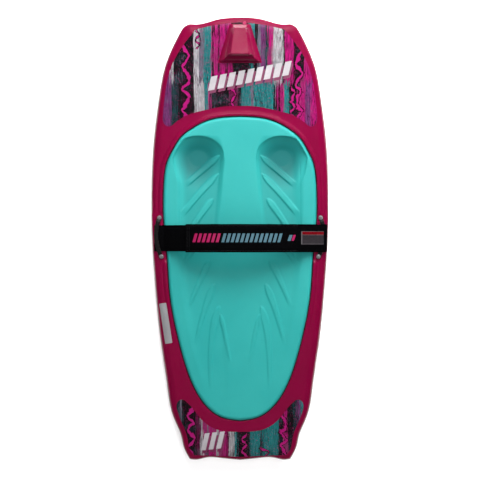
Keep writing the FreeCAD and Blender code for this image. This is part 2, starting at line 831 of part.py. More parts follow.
add_board()
add_strap()
add_screws()
add_plug()
for side_name, side_sign in SIDES.items():
    add_bracket(side_name, side_sign)
doc.recompute()
check()
os.makedirs("parts", exist_ok=True)
for subpart in subparts:
    subpart.Shape.exportStep(f"parts/{subpart.Label}.step")
    box = subpart.Shape.BoundBox
    print(f"{subpart.Label:24s} solids {len(subpart.Shape.Solids)}  volume {subpart.Shape.Volume / 1000:9.2f} cm3  "
          f"x {box.XMin:7.1f} {box.XMax:7.1f}  y {box.YMin:7.1f} {box.YMax:7.1f}  z {box.ZMin:6.1f} {box.ZMax:6.1f}")
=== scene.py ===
"""Kneeboard: the looks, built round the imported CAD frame.

Lengths are in millimetres until a mesh is made, which turns them into metres.
"""

import json
import math
from contextlib import contextmanager

import bmesh
import bpy
import numpy as np
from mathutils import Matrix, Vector
from mathutils.bvhtree import BVHTree
from mathutils.geometry import delaunay_2d_cdt


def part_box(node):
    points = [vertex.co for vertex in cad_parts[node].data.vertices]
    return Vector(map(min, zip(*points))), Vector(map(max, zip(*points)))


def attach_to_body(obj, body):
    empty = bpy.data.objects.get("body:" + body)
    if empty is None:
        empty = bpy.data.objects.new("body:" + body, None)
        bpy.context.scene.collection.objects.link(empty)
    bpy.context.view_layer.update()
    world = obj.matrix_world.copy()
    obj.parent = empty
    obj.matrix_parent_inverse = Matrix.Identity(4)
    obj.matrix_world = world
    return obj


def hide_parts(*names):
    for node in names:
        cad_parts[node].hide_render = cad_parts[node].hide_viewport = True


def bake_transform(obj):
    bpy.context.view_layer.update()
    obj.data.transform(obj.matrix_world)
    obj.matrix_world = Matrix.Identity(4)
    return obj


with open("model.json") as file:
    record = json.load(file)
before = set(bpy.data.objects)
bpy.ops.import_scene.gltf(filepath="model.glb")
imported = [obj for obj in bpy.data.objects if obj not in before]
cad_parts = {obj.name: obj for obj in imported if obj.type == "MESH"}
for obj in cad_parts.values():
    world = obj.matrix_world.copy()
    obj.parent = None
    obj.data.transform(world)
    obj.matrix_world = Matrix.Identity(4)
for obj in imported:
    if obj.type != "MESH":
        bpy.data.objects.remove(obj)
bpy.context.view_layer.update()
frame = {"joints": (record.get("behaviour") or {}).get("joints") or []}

MM = 0.001


# ---------------------------------------------------------------- driving sizes, from the frame

def node_box(node):
    """A node's box in millimetres."""
    low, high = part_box(node)
    return np.array(low) / MM, np.array(high) / MM


shell_high = node_box("shell")[1]
pad_low, pad_high = node_box("knee_pad")
HALF_LENGTH = shell_high[1]
HALF_WIDTH = shell_high[0]
PAD_HALF_WIDTH = pad_high[0]
PAD_HALF_LENGTH = (pad_high[1] - pad_low[1]) / 2
PAD_CENTRE = (pad_high[1] + pad_low[1]) / 2
RECESS_FLOOR = pad_low[2]
DECK_LEVEL = node_box("side_label")[0][2]
NOSE_START = 150.0
TAIL_START = -200.0
DECK_RISE = (4.0, 44.0)
HULL_RISE = (22.0, 64.0)
PAD_PROUD = 4.0
PAD_GAP = 2.0
COLLAR_WIDTH = 14.0
BRACKET_CENTRE = 8.0
BRACKET_REACH = 67.0

# Outlines, right half, in shares of the half width and of the half length.
HULL_FRONT = [(0.0, 1.0), (0.237, 0.993), (0.393, 0.976), (0.463, 0.971), (0.556, 0.972)]
HULL_SIDE = [
    (0.556, 0.972), (0.610, 0.963), (0.667, 0.935), (0.741, 0.880), (0.828, 0.800),
    (0.914, 0.636), (0.968, 0.472), (1.0, 0.200), (0.990, -0.017), (0.953, -0.235),
    (0.898, -0.452), (0.820, -0.669), (0.773, -0.779), (0.723, -0.833), (0.665, -0.888),
    (0.634, -0.941), (0.564, -0.996),
]
HULL_BACK = [(0.564, -0.996), (0.494, -0.999), (0.369, -0.989), (0.226, -0.991), (0.0, -1.0)]
PAD_OUTLINE = [
    (0.0, 1.0), (0.406, 0.976), (0.644, 0.916), (0.781, 0.859), (0.881, 0.779), (0.941, 0.720),
    (0.982, 0.642), (1.0, 0.534), (1.0, 0.323), (0.954, 0.081), (0.922, -0.157), (0.840, -0.396),
    (0.717, -0.631), (0.594, -0.789), (0.406, -0.922), (0.251, -0.975), (0.0, -1.0),
]
NOSE_DECAL = [
    [(0.0, 0.975), (0.330, 0.959), (0.494, 0.943)],
    [(0.494, 0.943), (0.634, 0.872), (0.743, 0.800), (0.790, 0.749), (0.840, 0.650), (0.863, 0.557)],
    [(0.863, 0.557), (0.844, 0.523), (0.793, 0.513), (0.731, 0.529)],
    [(0.731, 0.529), (0.642, 0.554), (0.370, 0.589), (0.163, 0.604), (0.0, 0.606)],
]
TAIL_DECAL = [
    [(0.0, -0.869), (0.171, -0.866), (0.295, -0.853), (0.447, -0.806), (0.548, -0.754), (0.622, -0.726)],
    [(0.622, -0.726), (0.669, -0.724), (0.708, -0.743), (0.700, -0.775)],
    [(0.700, -0.775), (0.657, -0.823), (0.610, -0.866), (0.587, -0.902), (0.560, -0.950), (0.513, -0.975)],
    [(0.513, -0.975), (0.416, -0.976), (0.0, -0.983)],
]


# ---------------------------------------------------------------- curves and heights

def smooth_line(points, spacing):
    """A natural cubic spline through points, sampled at an even spacing."""
    knots = np.array(points, float)
    step = np.linalg.norm(np.diff(knots, axis=0), axis=1)
    t = np.concatenate([[0.0], np.cumsum(step)])
    count = len(knots)
    matrix = np.eye(count)
    right = np.zeros_like(knots)
    for i in range(1, count - 1):
        matrix[i, i - 1] = step[i - 1]
        matrix[i, i] = 2 * (step[i - 1] + step[i])
        matrix[i, i + 1] = step[i]
        right[i] = 6 * ((knots[i + 1] - knots[i]) / step[i] - (knots[i] - knots[i - 1]) / step[i - 1])
    bend = np.linalg.solve(matrix, right)
    samples = np.linspace(0.0, t[-1], max(3, int(round(t[-1] / spacing)) + 1))
    i = np.clip(np.searchsorted(t, samples) - 1, 0, count - 2)
    length = step[i][:, None]
    a = (t[i + 1] - samples)[:, None]
    b = (samples - t[i])[:, None]
    curve = (bend[i] * a ** 3 + bend[i + 1] * b ** 3) / (6 * length)
    curve += (knots[i] / length - bend[i] * length / 6) * a
    curve += (knots[i + 1] / length - bend[i + 1] * length / 6) * b
    return curve


def mirror(points):
    """The same points on the left, in the opposite order."""
    return np.array(points)[::-1] * (-1, 1)


def scaled(points, half_width, half_length, centre=0.0):
    """Shares of a half width and a half length, in millimetres."""
    return np.array(points) * (half_width, half_length) + (0.0, centre)


def closed_outline(stretches, spacing):
    """A closed loop, clockwise from the nose, whose halves mirror each other."""
    right = [smooth_line(stretch, spacing) for stretch in stretches]
    half = np.concatenate([stretch[:-1] for stretch in right] + [right[-1][-1:]])
    return np.concatenate([half, mirror(half)[1:-1]])


def resample(loop, count):
    """A closed loop at evenly spaced points, from the same start."""
    ring = np.vstack([loop, loop[:1]])
    length = np.concatenate([[0.0], np.cumsum(np.linalg.norm(np.diff(ring, axis=0), axis=1))])
    where = np.arange(count) * length[-1] / count
    return np.stack([np.interp(where, length, ring[:, axis]) for axis in (0, 1)], axis=1)


def outward_normals(loop, window=0):
    """Unit normals of a clockwise loop, averaged over a window to calm the corners."""
    tangent = np.roll(loop, -1, axis=0) - np.roll(loop, 1, axis=0)
    normal = np.stack([-tangent[:, 1], tangent[:, 0]], axis=1)
    normal /= np.linalg.norm(normal, axis=1)[:, None]
    total = normal.copy()
    for shift in range(1, window + 1):
        total += np.roll(normal, shift, axis=0) + np.roll(normal, -shift, axis=0)
    return total / np.linalg.norm(total, axis=1)[:, None]


def smoothstep(value, low, high):
    """Zero up to low, one from high on, and an S curve between."""
    t = np.clip((value - low) / (high - low), 0.0, 1.0)
    return t * t * (3 - 2 * t)


def rocker(distance, run, rise):
    """Height of a round arc that climbs by rise over run; flat before it starts."""
    radius = (run ** 2 + rise ** 2) / (2 * rise)
    return radius - np.sqrt(radius ** 2 - np.clip(distance, 0.0, None) ** 2)


def side_level(y, level, rise):
    """A level along the board, lifted at the tail and at the nose."""
    tail = rocker(TAIL_START - y, HALF_LENGTH + TAIL_START, rise[0])
    nose = rocker(y - NOSE_START, HALF_LENGTH - NOSE_START, rise[1])
    return level + tail + nose


def deck_at(y):
    return side_level(y, DECK_LEVEL, DECK_RISE)


def hull_at(y):
    return side_level(y, 0.0, HULL_RISE)


HULL_STRETCHES = [scaled(s, HALF_WIDTH, HALF_LENGTH) for s in (HULL_FRONT, HULL_SIDE, HULL_BACK)]
PAD_LOOP = closed_outline([scaled(PAD_OUTLINE, PAD_HALF_WIDTH, PAD_HALF_LENGTH, PAD_CENTRE)], 2.0)


def closest_on(loop, points):
    """For each point, the nearest point of a dense loop, and how far it is."""
    found = np.empty((len(points), 2))
    gap = np.empty(len(points))
    for start in range(0, len(points), 512):
        part = points[start:start + 512]
        distance = np.linalg.norm(part[:, None, :] - loop[None, :, :], axis=2)
        nearest = distance.argmin(axis=1)
        found[start:start + 512] = loop[nearest]
        gap[start:start + 512] = distance.min(axis=1)
    return found, gap


# ---------------------------------------------------------------- meshes

def new_object(name, vertices, faces, smooth=True):
    """A mesh object from points in millimetres."""
    mesh = bpy.data.meshes.new(name)
    points = [tuple(float(c) * MM for c in vertex) for vertex in vertices]
    mesh.from_pydata(points, [], [tuple(map(int, face)) for face in faces])
    mesh.validate()
    obj = add_object(name, mesh)
    tidy_mesh(obj)
    if smooth:
        for polygon in mesh.polygons:
            polygon.use_smooth = True
    return obj


def add_object(name, data):
    """An object in the scene's own collection."""
    obj = bpy.data.objects.new(name, data)
    bpy.context.scene.collection.objects.link(obj)
    return obj


@contextmanager
def editing(obj):
    """A piece's mesh, open for changes."""
    bm = bmesh.new()
    bm.from_mesh(obj.data)
    yield bm
    bm.to_mesh(obj.data)
    bm.free()


def tidy_mesh(obj, merge=1e-6):
    """Weld doubles, drop what has no area and turn every face outwards."""
    with editing(obj) as bm:
        bmesh.ops.remove_doubles(bm, verts=bm.verts, dist=merge)
        bmesh.ops.dissolve_degenerate(bm, edges=bm.edges, dist=merge)
        bmesh.ops.recalc_face_normals(bm, faces=bm.faces)


def grid_faces(rows, columns, wrap=False, start=0):
    """Quads between rows of points; wrap joins the last column to the first."""
    faces = []
    for r in range(rows - 1):
        for c in range(columns if wrap else columns - 1):
            d = (c + 1) % columns
            a = start + r * columns
            faces.append((a + c, a + d, a + columns + d, a + columns + c))
    return faces


def sharpen(obj, angle=35.0):
    """Keep creases sharper than an angle crisp."""
    with editing(obj) as bm:
        for edge in bm.edges:
            if len(edge.link_faces) == 2 and edge.calc_face_angle() > math.radians(angle):
                edge.smooth = False


def ring(plan, z):
    """Plan points with one height, or a height for each."""
    return np.column_stack([plan, z + np.zeros(len(plan))])


def capped_tube(rows):
    """Vertices and faces of a swept section with both ends closed."""
    count, columns = rows.shape[:2]
    faces = grid_faces(count, columns, wrap=True)
    faces.append(tuple(range(columns))[::-1])
    last = (count - 1) * columns
    faces.append(tuple(range(last, last + columns)))
    return rows.reshape(-1, 3), faces


def lathe(name, profile, segments=48, shape=None):
    """A turned piece from (radius, height) pairs that end on the axis or where they started."""
    rows = []
    for radius, height in profile:
        circle = []
        for k in range(segments):
            turn = 2 * math.pi * k / segments
            point = np.array([radius * math.cos(turn), radius * math.sin(turn), height])
            circle.append(shape(point) if shape else point)
        rows.append(circle)
    return new_object(name, np.array(rows).reshape(-1, 3), grid_faces(len(rows), segments, wrap=True))


def join(name, objects):
    """Several objects as one piece."""
    bm = bmesh.new()
    for obj in objects:
        part = obj.data.copy()
        part.transform(obj.matrix_world)
        bm.from_mesh(part)
        bpy.data.meshes.remove(part)
    mesh = bpy.data.meshes.new(name)
    bm.to_mesh(mesh)
    bm.free()
    for obj in objects:
        bpy.data.objects.remove(obj)
    return add_object(name, mesh)


# ---------------------------------------------------------------- materials

LIGHT_LEVEL = 1.75


def linear(red, green, blue):
    """An sRGB colour, 0 to 255, as seen on a stage lit LIGHT_LEVEL times as bright as a white card needs."""
    values = []
    for channel in (red, green, blue):
        c = channel / 255
        c = c / 12.92 if c <= 0.04045 else ((c + 0.055) / 1.055) ** 2.4
        values.append(c / LIGHT_LEVEL)
    return (*values, 1.0)


class Nodes:
    """A material's node tree, with short calls for the nodes used here."""

    def __init__(self, name, roughness=0.5, metallic=0.0):
        self.material = bpy.data.materials.new(name)
        self.material.use_nodes = True
        self.tree = self.material.node_tree
        self.shader = self.tree.nodes["Principled BSDF"]
        self.preset(self.shader, Roughness=roughness, Metallic=metallic)
        self.position = self.add("ShaderNodeTexCoord").outputs["Object"]

    def add(self, kind, **settings):
        node = self.tree.nodes.new(kind)
        for key, value in settings.items():
            setattr(node, key, value)
        return node

    def link(self, source, target):
        self.tree.links.new(source, target)

    def feed(self, value, socket):
        if isinstance(value, bpy.types.NodeSocket):
            self.link(value, socket)
        else:
            socket.default_value = value

    def preset(self, node, **numbers):
        for key, number in numbers.items():
            node.inputs[key.replace("_", " ")].default_value = number

    def mapped(self, scale):
        node = self.add("ShaderNodeMapping")
        self.preset(node, Scale=scale)
        self.link(self.position, node.inputs["Vector"])
        return node.outputs["Vector"]

    def noise(self, scale, detail=3.0, roughness=0.5, vector=None):
        node = self.add("ShaderNodeTexNoise")
        self.preset(node, Scale=scale, Detail=detail, Roughness=roughness)
        self.link(vector or self.position, node.inputs["Vector"])
        return node.outputs["Fac"]

    def math(self, operation, a, b=0.0, c=0.0):
        node = self.add("ShaderNodeMath", operation=operation)
        for socket, value in zip(node.inputs, (a, b, c)):
            self.feed(value, socket)
        return node.outputs["Value"]

    def remap(self, value, low, high, to_low=0.0, to_high=1.0):
        node = self.add("ShaderNodeMapRange")
        self.feed(value, node.inputs["Value"])
        self.preset(node, From_Min=low, From_Max=high, To_Min=to_low, To_Max=to_high)
        return node.outputs["Result"]

    def mix(self, factor, a, b):
        node = self.add("ShaderNodeMix", data_type="RGBA")
        self.feed(factor, node.inputs["Factor"])
        first, second = [s for s in node.inputs if s.type == "RGBA"]
        self.feed(a, first)
        self.feed(b, second)
        return [s for s in node.outputs if s.type == "RGBA"][0]

    def ramp(self, value, stops, constant=False):
        node = self.add("ShaderNodeValToRGB")
        if constant:
            node.color_ramp.interpolation = "CONSTANT"
        while len(node.color_ramp.elements) < len(stops):
            node.color_ramp.elements.new(0.5)
        for element, (place, colour) in zip(node.color_ramp.elements, stops):
            element.position = place
            element.color = colour
        self.feed(value, node.inputs["Fac"])
        return node.outputs["Color"]

    def axes(self):
        node = self.add("ShaderNodeSeparateXYZ")
        self.link(self.position, node.inputs["Vector"])
        return node.outputs["X"], node.outputs["Y"]

    def colour(self, value):
        self.feed(value, self.shader.inputs["Base Color"])

    def rough(self, value):
        self.feed(value, self.shader.inputs["Roughness"])

    def bump(self, height, strength, distance):
        node = self.add("ShaderNodeBump")
        self.preset(node, Strength=strength, Distance=distance)
        self.link(height, node.inputs["Height"])
        self.link(node.outputs["Normal"], self.shader.inputs["Normal"])

    def set(self, **sockets):
        self.preset(self.shader, **sockets)
        return self.material


PINK = linear(158, 13, 98)
HOT_PINK = linear(150, 14, 96)
PLUM = linear(84, 8, 52)
TEAL = linear(26, 112, 114)
TEAL_DARK = linear(12, 48, 52)
DARK = linear(12, 9, 12)
PALE = linear(164, 162, 166)
GREY = linear(98, 95, 110)
VIOLET = linear(104, 44, 98)

# Bands of the printed films: the left edge in millimetres across the board, and the colour.
NOSE_UPPER = [
    (-257, VIOLET), (-198, PALE), (-190, DARK), (-178, DARK), (-134, PALE), (-118, GREY), (-106, TEAL),
    (-84, PINK), (-79, DARK), (-75, PINK), (-64, DARK), (-60, PINK), (-42, DARK), (-38, PINK), (-24, DARK),
    (24, TEAL), (40, DARK), (50, GREY), (60, VIOLET), (72, TEAL_DARK), (80, PINK), (94, PALE), (121, DARK),
    (128, PINK), (154, DARK), (184, PINK), (204, VIOLET),
]
NOSE_LOWER = [
    (-257, VIOLET), (-200, TEAL_DARK), (-178, DARK), (-134, PALE), (-104, TEAL), (-94, PINK), (-88, DARK),
    (-60, DARK), (-34, PLUM), (-8, DARK), (4, TEAL), (30, GREY), (38, TEAL), (70, TEAL), (97, DARK),
    (103, PINK), (110, DARK), (116, PINK), (124, TEAL), (140, DARK), (166, PINK), (186, VIOLET), (204, PINK),
]
TAIL_BANDS = [
    (-257, TEAL_DARK), (-176, GREY), (-168, DARK), (-154, DARK), (-127, PLUM), (-113, PALE), (-106, PINK),
    (-98, GREY), (-92, PINK), (-70, PALE), (-62, PINK), (-40, PLUM), (-33, PALE), (-18, TEAL), (-10, DARK),
    (28, TEAL), (58, TEAL_DARK), (64, TEAL), (112, DARK), (124, PINK), (136, DARK), (152, TEAL_DARK),
    (164, VIOLET), (172, TEAL),
]
NOSE_LINES = [
    # place, swing, period, width, from y, to y
    (-155, 20, 62, 13, 320, 560), (168, 18, 56, 12, 320, 570), (-20, 16, 44, 9, 380, 440),
    (152, 14, 40, 9, 330, 440), (-122, 10, 30, 5, 545, 600),
]
TAIL_LINES = [
    # place, swing, period, width, from y, to y
    (-141, 18, 50, 13, -620, -470), (12, 14, 38, 10, -625, -556), (125, 16, 46, 11, -620, -480),
    (70, 26, 30, 8, -625, -596),
]


def shell_material():
    """Gloss magenta polyethylene: faint mottling, fine orange peel and light scuffs."""
    n = Nodes("shell_gloss")
    cloud = n.noise(9.0, detail=4.0)
    n.colour(n.ramp(cloud, [(0.30, linear(113, 2, 46)), (0.72, linear(121, 3, 51))]))
    scuff = n.noise(40.0, detail=6.0, roughness=0.7, vector=n.mapped((1.0, 0.25, 1.0)))
    n.rough(n.remap(scuff, 0.35, 0.75, 0.10, 0.17))
    peel = n.noise(260.0, detail=2.0)
    n.bump(peel, 0.12, 0.0006)
    return n.set(Coat_Weight=0.2, Coat_Roughness=0.04, Specular_IOR_Level=0.34)


def pad_material():
    """Teal moulded EVA: fine skin grain and slight colour drift, and painted shade that darkens it where the
    relief is deep.
    """
    n = Nodes("pad_eva")
    drift = n.noise(7.0, detail=3.0)
    base = n.ramp(drift, [(0.30, linear(38, 153, 150)), (0.70, linear(46, 160, 156))])
    grain = n.noise(900.0, detail=2.0, roughness=0.6)
    skin = n.mix(n.remap(grain, 0.40, 0.62, 0.0, 0.10), base, linear(28, 134, 128))
    # Painted shade: the deeper the relief, the darker the teal, most of all in the knee wells.
    painted_well_shade = n.add("ShaderNodeAttribute", attribute_name="moulded").outputs["Fac"]
    n.colour(n.mix(n.remap(painted_well_shade, 7.0, 20.0, 0.0, 0.95), skin, linear(2, 96, 96)))
    n.rough(n.remap(grain, 0.35, 0.65, 0.46, 0.60))
    n.bump(n.noise(700.0, detail=3.0, roughness=0.65), 0.18, 0.0005)
    return n.set(Specular_IOR_Level=0.12)


def zigzag(n, x, y, place, swing, period, wander):
    """Distance from a jagged line that runs along the board at a place across it."""
    drift = period * MM / 7
    drifted = n.math("ADD", y, n.remap(n.noise(21.0, detail=1.0), 0.3, 0.7, -drift, drift))
    teeth = n.math("PINGPONG", drifted, period * MM / 2)
    swung = n.math("MULTIPLY_ADD", teeth, 2 * swing / period, (place - swing / 2) * MM)
    shaky = n.noise(52.0, detail=5.0, roughness=0.65)
    line = n.math("ADD", swung, n.remap(shaky, 0.3, 0.7, -wander * MM, wander * MM))
    thin = n.math("ABSOLUTE", n.math("MULTIPLY_ADD", teeth, 4 / (period * MM), -1.0))
    gap = n.math("ABSOLUTE", n.math("SUBTRACT", x, line))
    return n.math("ADD", gap, n.math("MULTIPLY", thin, 3.6 * MM))


def film_material(name, upper, lower, split, squiggles):
    """Printed film: dry-brushed bands along the board, speckles and jagged flame lines.

    upper and lower are (left edge in mm, colour) bands, met at a ragged line across y = split.
    """
    n = Nodes(name)
    x, y = n.axes()
    streak = n.noise(1.0, detail=6.0, roughness=0.75, vector=n.mapped((260.0, 7.0, 1.0)))
    brush = n.noise(1.0, detail=8.0, roughness=0.85, vector=n.mapped((520.0, 22.0, 1.0)))
    patchy = n.noise(16.0, detail=4.0, roughness=0.7)
    speck = n.noise(330.0, detail=3.0, roughness=0.8)

    def bands(stops):
        span = 2 * HALF_WIDTH
        ragged = n.math("ADD", x, n.remap(streak, 0.3, 0.7, -8 * MM, 8 * MM))
        place = n.math("MULTIPLY_ADD", ragged, 1 / (span * MM), 0.5)
        return n.ramp(place, [((edge + HALF_WIDTH) / span, colour) for edge, colour in stops], constant=True)

    seam = n.math("ADD", y, n.remap(streak, 0.3, 0.7, -26 * MM, 26 * MM))
    base = n.mix(n.math("GREATER_THAN", seam, split * MM), bands(lower), bands(upper))
    faded = n.mix(n.remap(patchy, 0.48, 0.66, 0.0, 0.55), base, TEAL_DARK)
    dark = n.math("MULTIPLY", n.remap(brush, 0.48, 0.52, 0.0, 0.92), n.remap(patchy, 0.42, 0.60, 1.0, 0.25))
    brushed = n.mix(dark, faded, DARK)
    pale = n.math("MULTIPLY", n.remap(brush, 0.46, 0.40, 0.0, 0.7), n.remap(patchy, 0.50, 0.60, 0.0, 0.8))
    streaked = n.mix(pale, brushed, GREY)
    drawn = n.mix(n.remap(speck, 0.60, 0.64, 0.0, 0.7), streaked, PINK)
    stroke = n.mix(n.remap(brush, 0.55, 0.62, 0.0, 0.7), HOT_PINK, PLUM)
    for place, swing, period, width, low, high in squiggles:
        gap = zigzag(n, x, y, place, swing, period, 6.0)
        inside = n.math("MULTIPLY", n.math("GREATER_THAN", y, low * MM), n.math("LESS_THAN", y, high * MM))
        rim = n.math("MULTIPLY", n.remap(gap, (width / 2 + 3.4) * MM, (width / 2 + 2.8) * MM), inside)
        core = n.math("MULTIPLY", n.remap(gap, (width / 2 + 0.3) * MM, (width / 2 - 0.3) * MM), inside)
        drawn = n.mix(core, n.mix(rim, drawn, DARK), stroke)
    n.colour(drawn)
    n.rough(n.remap(brush, 0.3, 0.7, 0.12, 0.20))
    n.bump(brush, 0.04, 0.0002)
    return n.set(Specular_IOR_Level=0.3)


def plain_material(name, colour, roughness, grain=300.0, strength=0.1, **sockets):
    """A moulded or painted surface: one colour with fine grain and a little drift."""
    n = Nodes(name)
    darker = tuple(c * 0.78 for c in colour[:3]) + (1.0,)
    n.colour(n.mix(n.remap(n.noise(14.0, detail=4.0), 0.35, 0.7), colour, darker))
    fine = n.noise(grain, detail=3.0)
    n.rough(n.remap(fine, 0.3, 0.7, roughness * 0.85, roughness * 1.15))
    n.bump(fine, strength, 0.0004)
    return n.set(**sockets)


def woven_material(name, colour, pitch=0.0011):
    """Woven webbing: crossed ribs of thread, matt, with paler lint."""
    n = Nodes(name, roughness=0.75)
    x, y = n.axes()
    warp = n.math("SINE", n.math("MULTIPLY", y, 2 * math.pi / pitch))
    weft = n.math("SINE", n.math("MULTIPLY", x, 2 * math.pi / (pitch * 1.6)))
    weave = n.math("MULTIPLY", warp, weft)
    lighter = tuple(c * 1.8 for c in colour[:3]) + (1.0,)
    lint = n.remap(n.noise(160.0, detail=4.0, roughness=0.7), 0.45, 0.75, 0.0, 0.4)
    tone = n.math("ADD", n.remap(weave, -1.0, 1.0, 0.0, 0.5), lint)
    n.colour(n.mix(tone, colour, lighter))
    n.bump(weave, 0.35, 0.0003)
    return n.set(Specular_IOR_Level=0.0)


def metal_material(name, colour, roughness):
    """Turned metal with fine brushing, dulled by a lacquer."""
    n = Nodes(name, metallic=0.55)
    brush = n.noise(1.0, detail=4.0, vector=n.mapped((900.0, 900.0, 120.0)))
    darker = tuple(c * 0.7 for c in colour[:3]) + (1.0,)
    n.colour(n.mix(n.remap(brush, 0.35, 0.7), colour, darker))
    n.rough(n.remap(brush, 0.3, 0.7, roughness * 0.8, roughness * 1.3))
    n.bump(brush, 0.05, 0.0001)
    return n.material


FINE = {"grain": 500.0, "strength": 0.05}
INK = {"grain": 700.0, "strength": 0.3, "Specular_IOR_Level": 0.2}

MATERIALS = {
    "shell": shell_material(),
    "pad": pad_material(),
    "nose_film": film_material("nose_film", NOSE_UPPER, NOSE_LOWER, 452.0, NOSE_LINES),
    "tail_film": film_material("tail_film", TAIL_BANDS, TAIL_BANDS, -700.0, TAIL_LINES),
    "label": plain_material("label_vinyl", linear(140, 140, 143), 0.45, **FINE),
    "plug": plain_material("plug_nylon", linear(176, 14, 84), 0.3),
    "bracket": plain_material("bracket_powder_coat", linear(9, 9, 10), 0.42, grain=900.0, strength=0.2,
                              Specular_IOR_Level=0.15),
    "steel": metal_material("stainless_steel", linear(150, 150, 154), 0.30),
    "brass": metal_material("insert_brass", linear(205, 168, 98), 0.3),
    "foam": plain_material("poured_foam", linear(232, 222, 184), 0.85, grain=220.0, strength=0.5),
    "webbing": woven_material("webbing_black", linear(5, 5, 6)),
    "pile": plain_material("loop_pile", linear(16, 16, 18), 0.9, grain=1500.0, strength=0.8,
                           Specular_IOR_Level=0.1),
    "hooks": plain_material("hook_tape", linear(18, 18, 20), 0.6, grain=1200.0, strength=0.7,
                            Specular_IOR_Level=0.2),
    "thread": plain_material("thread", linear(26, 26, 29), 0.6, grain=1500.0, strength=0.4,
                             Specular_IOR_Level=0.2),
    "patch": woven_material("patch_grey", linear(40, 37, 40), pitch=0.0007),
    "patch_red": woven_material("patch_red", linear(92, 10, 18), pitch=0.0007),
    "patch_line": plain_material("patch_line", linear(78, 74, 78), 0.7),
    "print_plum": plain_material("print_plum", linear(104, 8, 64), 0.35, **FINE),
    "print_pink": plain_material("print_pink", linear(158, 10, 78), 0.5, **INK),
    "print_blue": plain_material("print_blue", linear(70, 106, 120), 0.5, **INK),
    "print_white": plain_material("print_white", linear(174, 170, 174), 0.3, **FINE),
}


def describe(obj, material, slot, *nodes):
    """Material and the CAD nodes that a piece stands for, which are hidden; slot is not used."""
    obj.data.materials.append(MATERIALS[material])
    if nodes:
        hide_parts(*nodes)


def finish_piece(obj, material, body, slot, *nodes):
    """Describe a piece that stays on one body."""
    describe(obj, material, slot, *nodes)
    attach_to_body(obj, body)


# ---------------------------------------------------------------- shell

COLLAR_STEPS = [
    # distance out from the recess wall, height as a share of the collar's
    (0.5, 0.80), (1.4, 0.96), (3.0, 1.03), (4.6, 1.05), (6.2, 1.0), (7.8, 0.87), (9.2, 0.68),
    (10.6, 0.44), (11.8, 0.24), (12.8, 0.09), (COLLAR_WIDTH, 0.0),
]
RAIL_STEPS = [
    # inset from the outline, height as a share of the thickness
    (2.4, 0.735), (1.2, 0.69), (0.4, 0.63), (0.0, 0.55), (0.0, 0.45), (0.5, 0.34), (1.8, 0.24),
    (4.2, 0.145), (7.6, 0.075), (12.0, 0.028), (17.5, 0.005), (24.0, 0.0),
]


def bracket_zone(y):
    """One beside the brackets, falling to zero past their feet."""
    away = np.abs(y - BRACKET_CENTRE)
    return 1.0 - smoothstep(away, BRACKET_REACH, BRACKET_REACH + 6.0)


def plan_loops(spacing, count, passes):
    """The hull's outline, the pad's edge nearest to it, the gap between and both outward normals."""
    hull = resample(closed_outline(HULL_STRETCHES, spacing), count)
    pad, gap = closest_on(PAD_LOOP, hull)
    for _ in range(passes):
        pad = (np.roll(pad, 1, axis=0) + pad * 2 + np.roll(pad, -1, axis=0)) / 4
    return hull, pad, gap, outward_normals(hull, 5), outward_normals(pad, 3)


def shell_rings():
    """Closed rings of points from the recess floor, up over the deck and round to the keel."""
    hull, pad, gap, hull_out, pad_out = plan_loops(2.0, 760, 6)
    bevel = np.clip(gap - 21.0, 13.0, 27.0)[:, None]
    rings = []

    def add(points, z):
        rings.append(ring(points, z))

    def collar_height(y):
        return 3.0 * (1 - bracket_zone(y)) * (0.15 + 0.85 * smoothstep(y, -330.0, -120.0))

    floor = pad + pad_out * PAD_GAP
    add(floor, RECESS_FLOOR)
    lip = deck_at(floor[:, 1]) + collar_height(floor[:, 1])
    add(floor, lip - 5.0)
    add(floor, lip - 1.3)
    for out, share in COLLAR_STEPS:
        points = pad + pad_out * (PAD_GAP + out)
        add(points, deck_at(points[:, 1]) + collar_height(points[:, 1]) * share)
    inner = pad + pad_out * (PAD_GAP + COLLAR_WIDTH)
    outer = hull - hull_out * bevel
    for share in np.linspace(0.0, 1.0, 26)[1:]:
        points = inner + (outer - inner) * share
        add(points, deck_at(points[:, 1]))
    for share in (0.86, 0.72, 0.58, 0.45, 0.33, 0.22):
        points = hull - hull_out * bevel * share
        y = points[:, 1]
        thick = deck_at(hull[:, 1]) - hull_at(hull[:, 1])
        drop = 0.21 * thick * (1 - share) ** 1.7 * (1 - 0.5 * bracket_zone(y))
        add(points, deck_at(y) - drop)
    for inset, share in RAIL_STEPS:
        points = hull - hull_out * inset
        high = deck_at(hull[:, 1])
        edge = hull_at(hull[:, 1])
        low = edge + (hull_at(points[:, 1]) - edge) * inset / RAIL_STEPS[-1][0]
        add(points, low + (high - edge) * share)
    spine = np.column_stack([np.zeros(len(hull)), np.clip(hull[:, 1], -520.0, 505.0)])
    start = hull - hull_out * RAIL_STEPS[-1][0]
    for share in np.linspace(0.0, 1.0, 34)[1:]:
        points = start + (spine - start) * share
        add(points, underside(points))
    return rings


HULL_CHANNEL = {"place": 92.0, "half_width": 26.0, "depth": 4.5}


def channel_depth(y):
    """Depth of the two long channels under the hull, which deepen towards the tail."""
    return HULL_CHANNEL["depth"] * smoothstep(-y, 60.0, 330.0) * (1 - smoothstep(-y, 590.0, 640.0))


def underside(points):
    """The hull's bottom with its two moulded channels."""
    x, y = points[:, 0], points[:, 1]
    across = (np.abs(x) - HULL_CHANNEL["place"]) / HULL_CHANNEL["half_width"]
    return hull_at(y) + channel_depth(y) * np.exp(-across ** 4)


def build_shell():
    """The one-piece hull and deck, with the pad's recess in it."""
    rings = shell_rings()
    count = len(rings[0])
    faces = grid_faces(len(rings), count, wrap=True)
    vertices = np.concatenate(rings)
    faces.append(tuple(range(count)))
    return new_object("shell_body", vertices, faces)


FOAM_INSET = 34.0
FOAM_GAP = {"wall": 3.5, "deck": 4.2, "hull": 3.6}


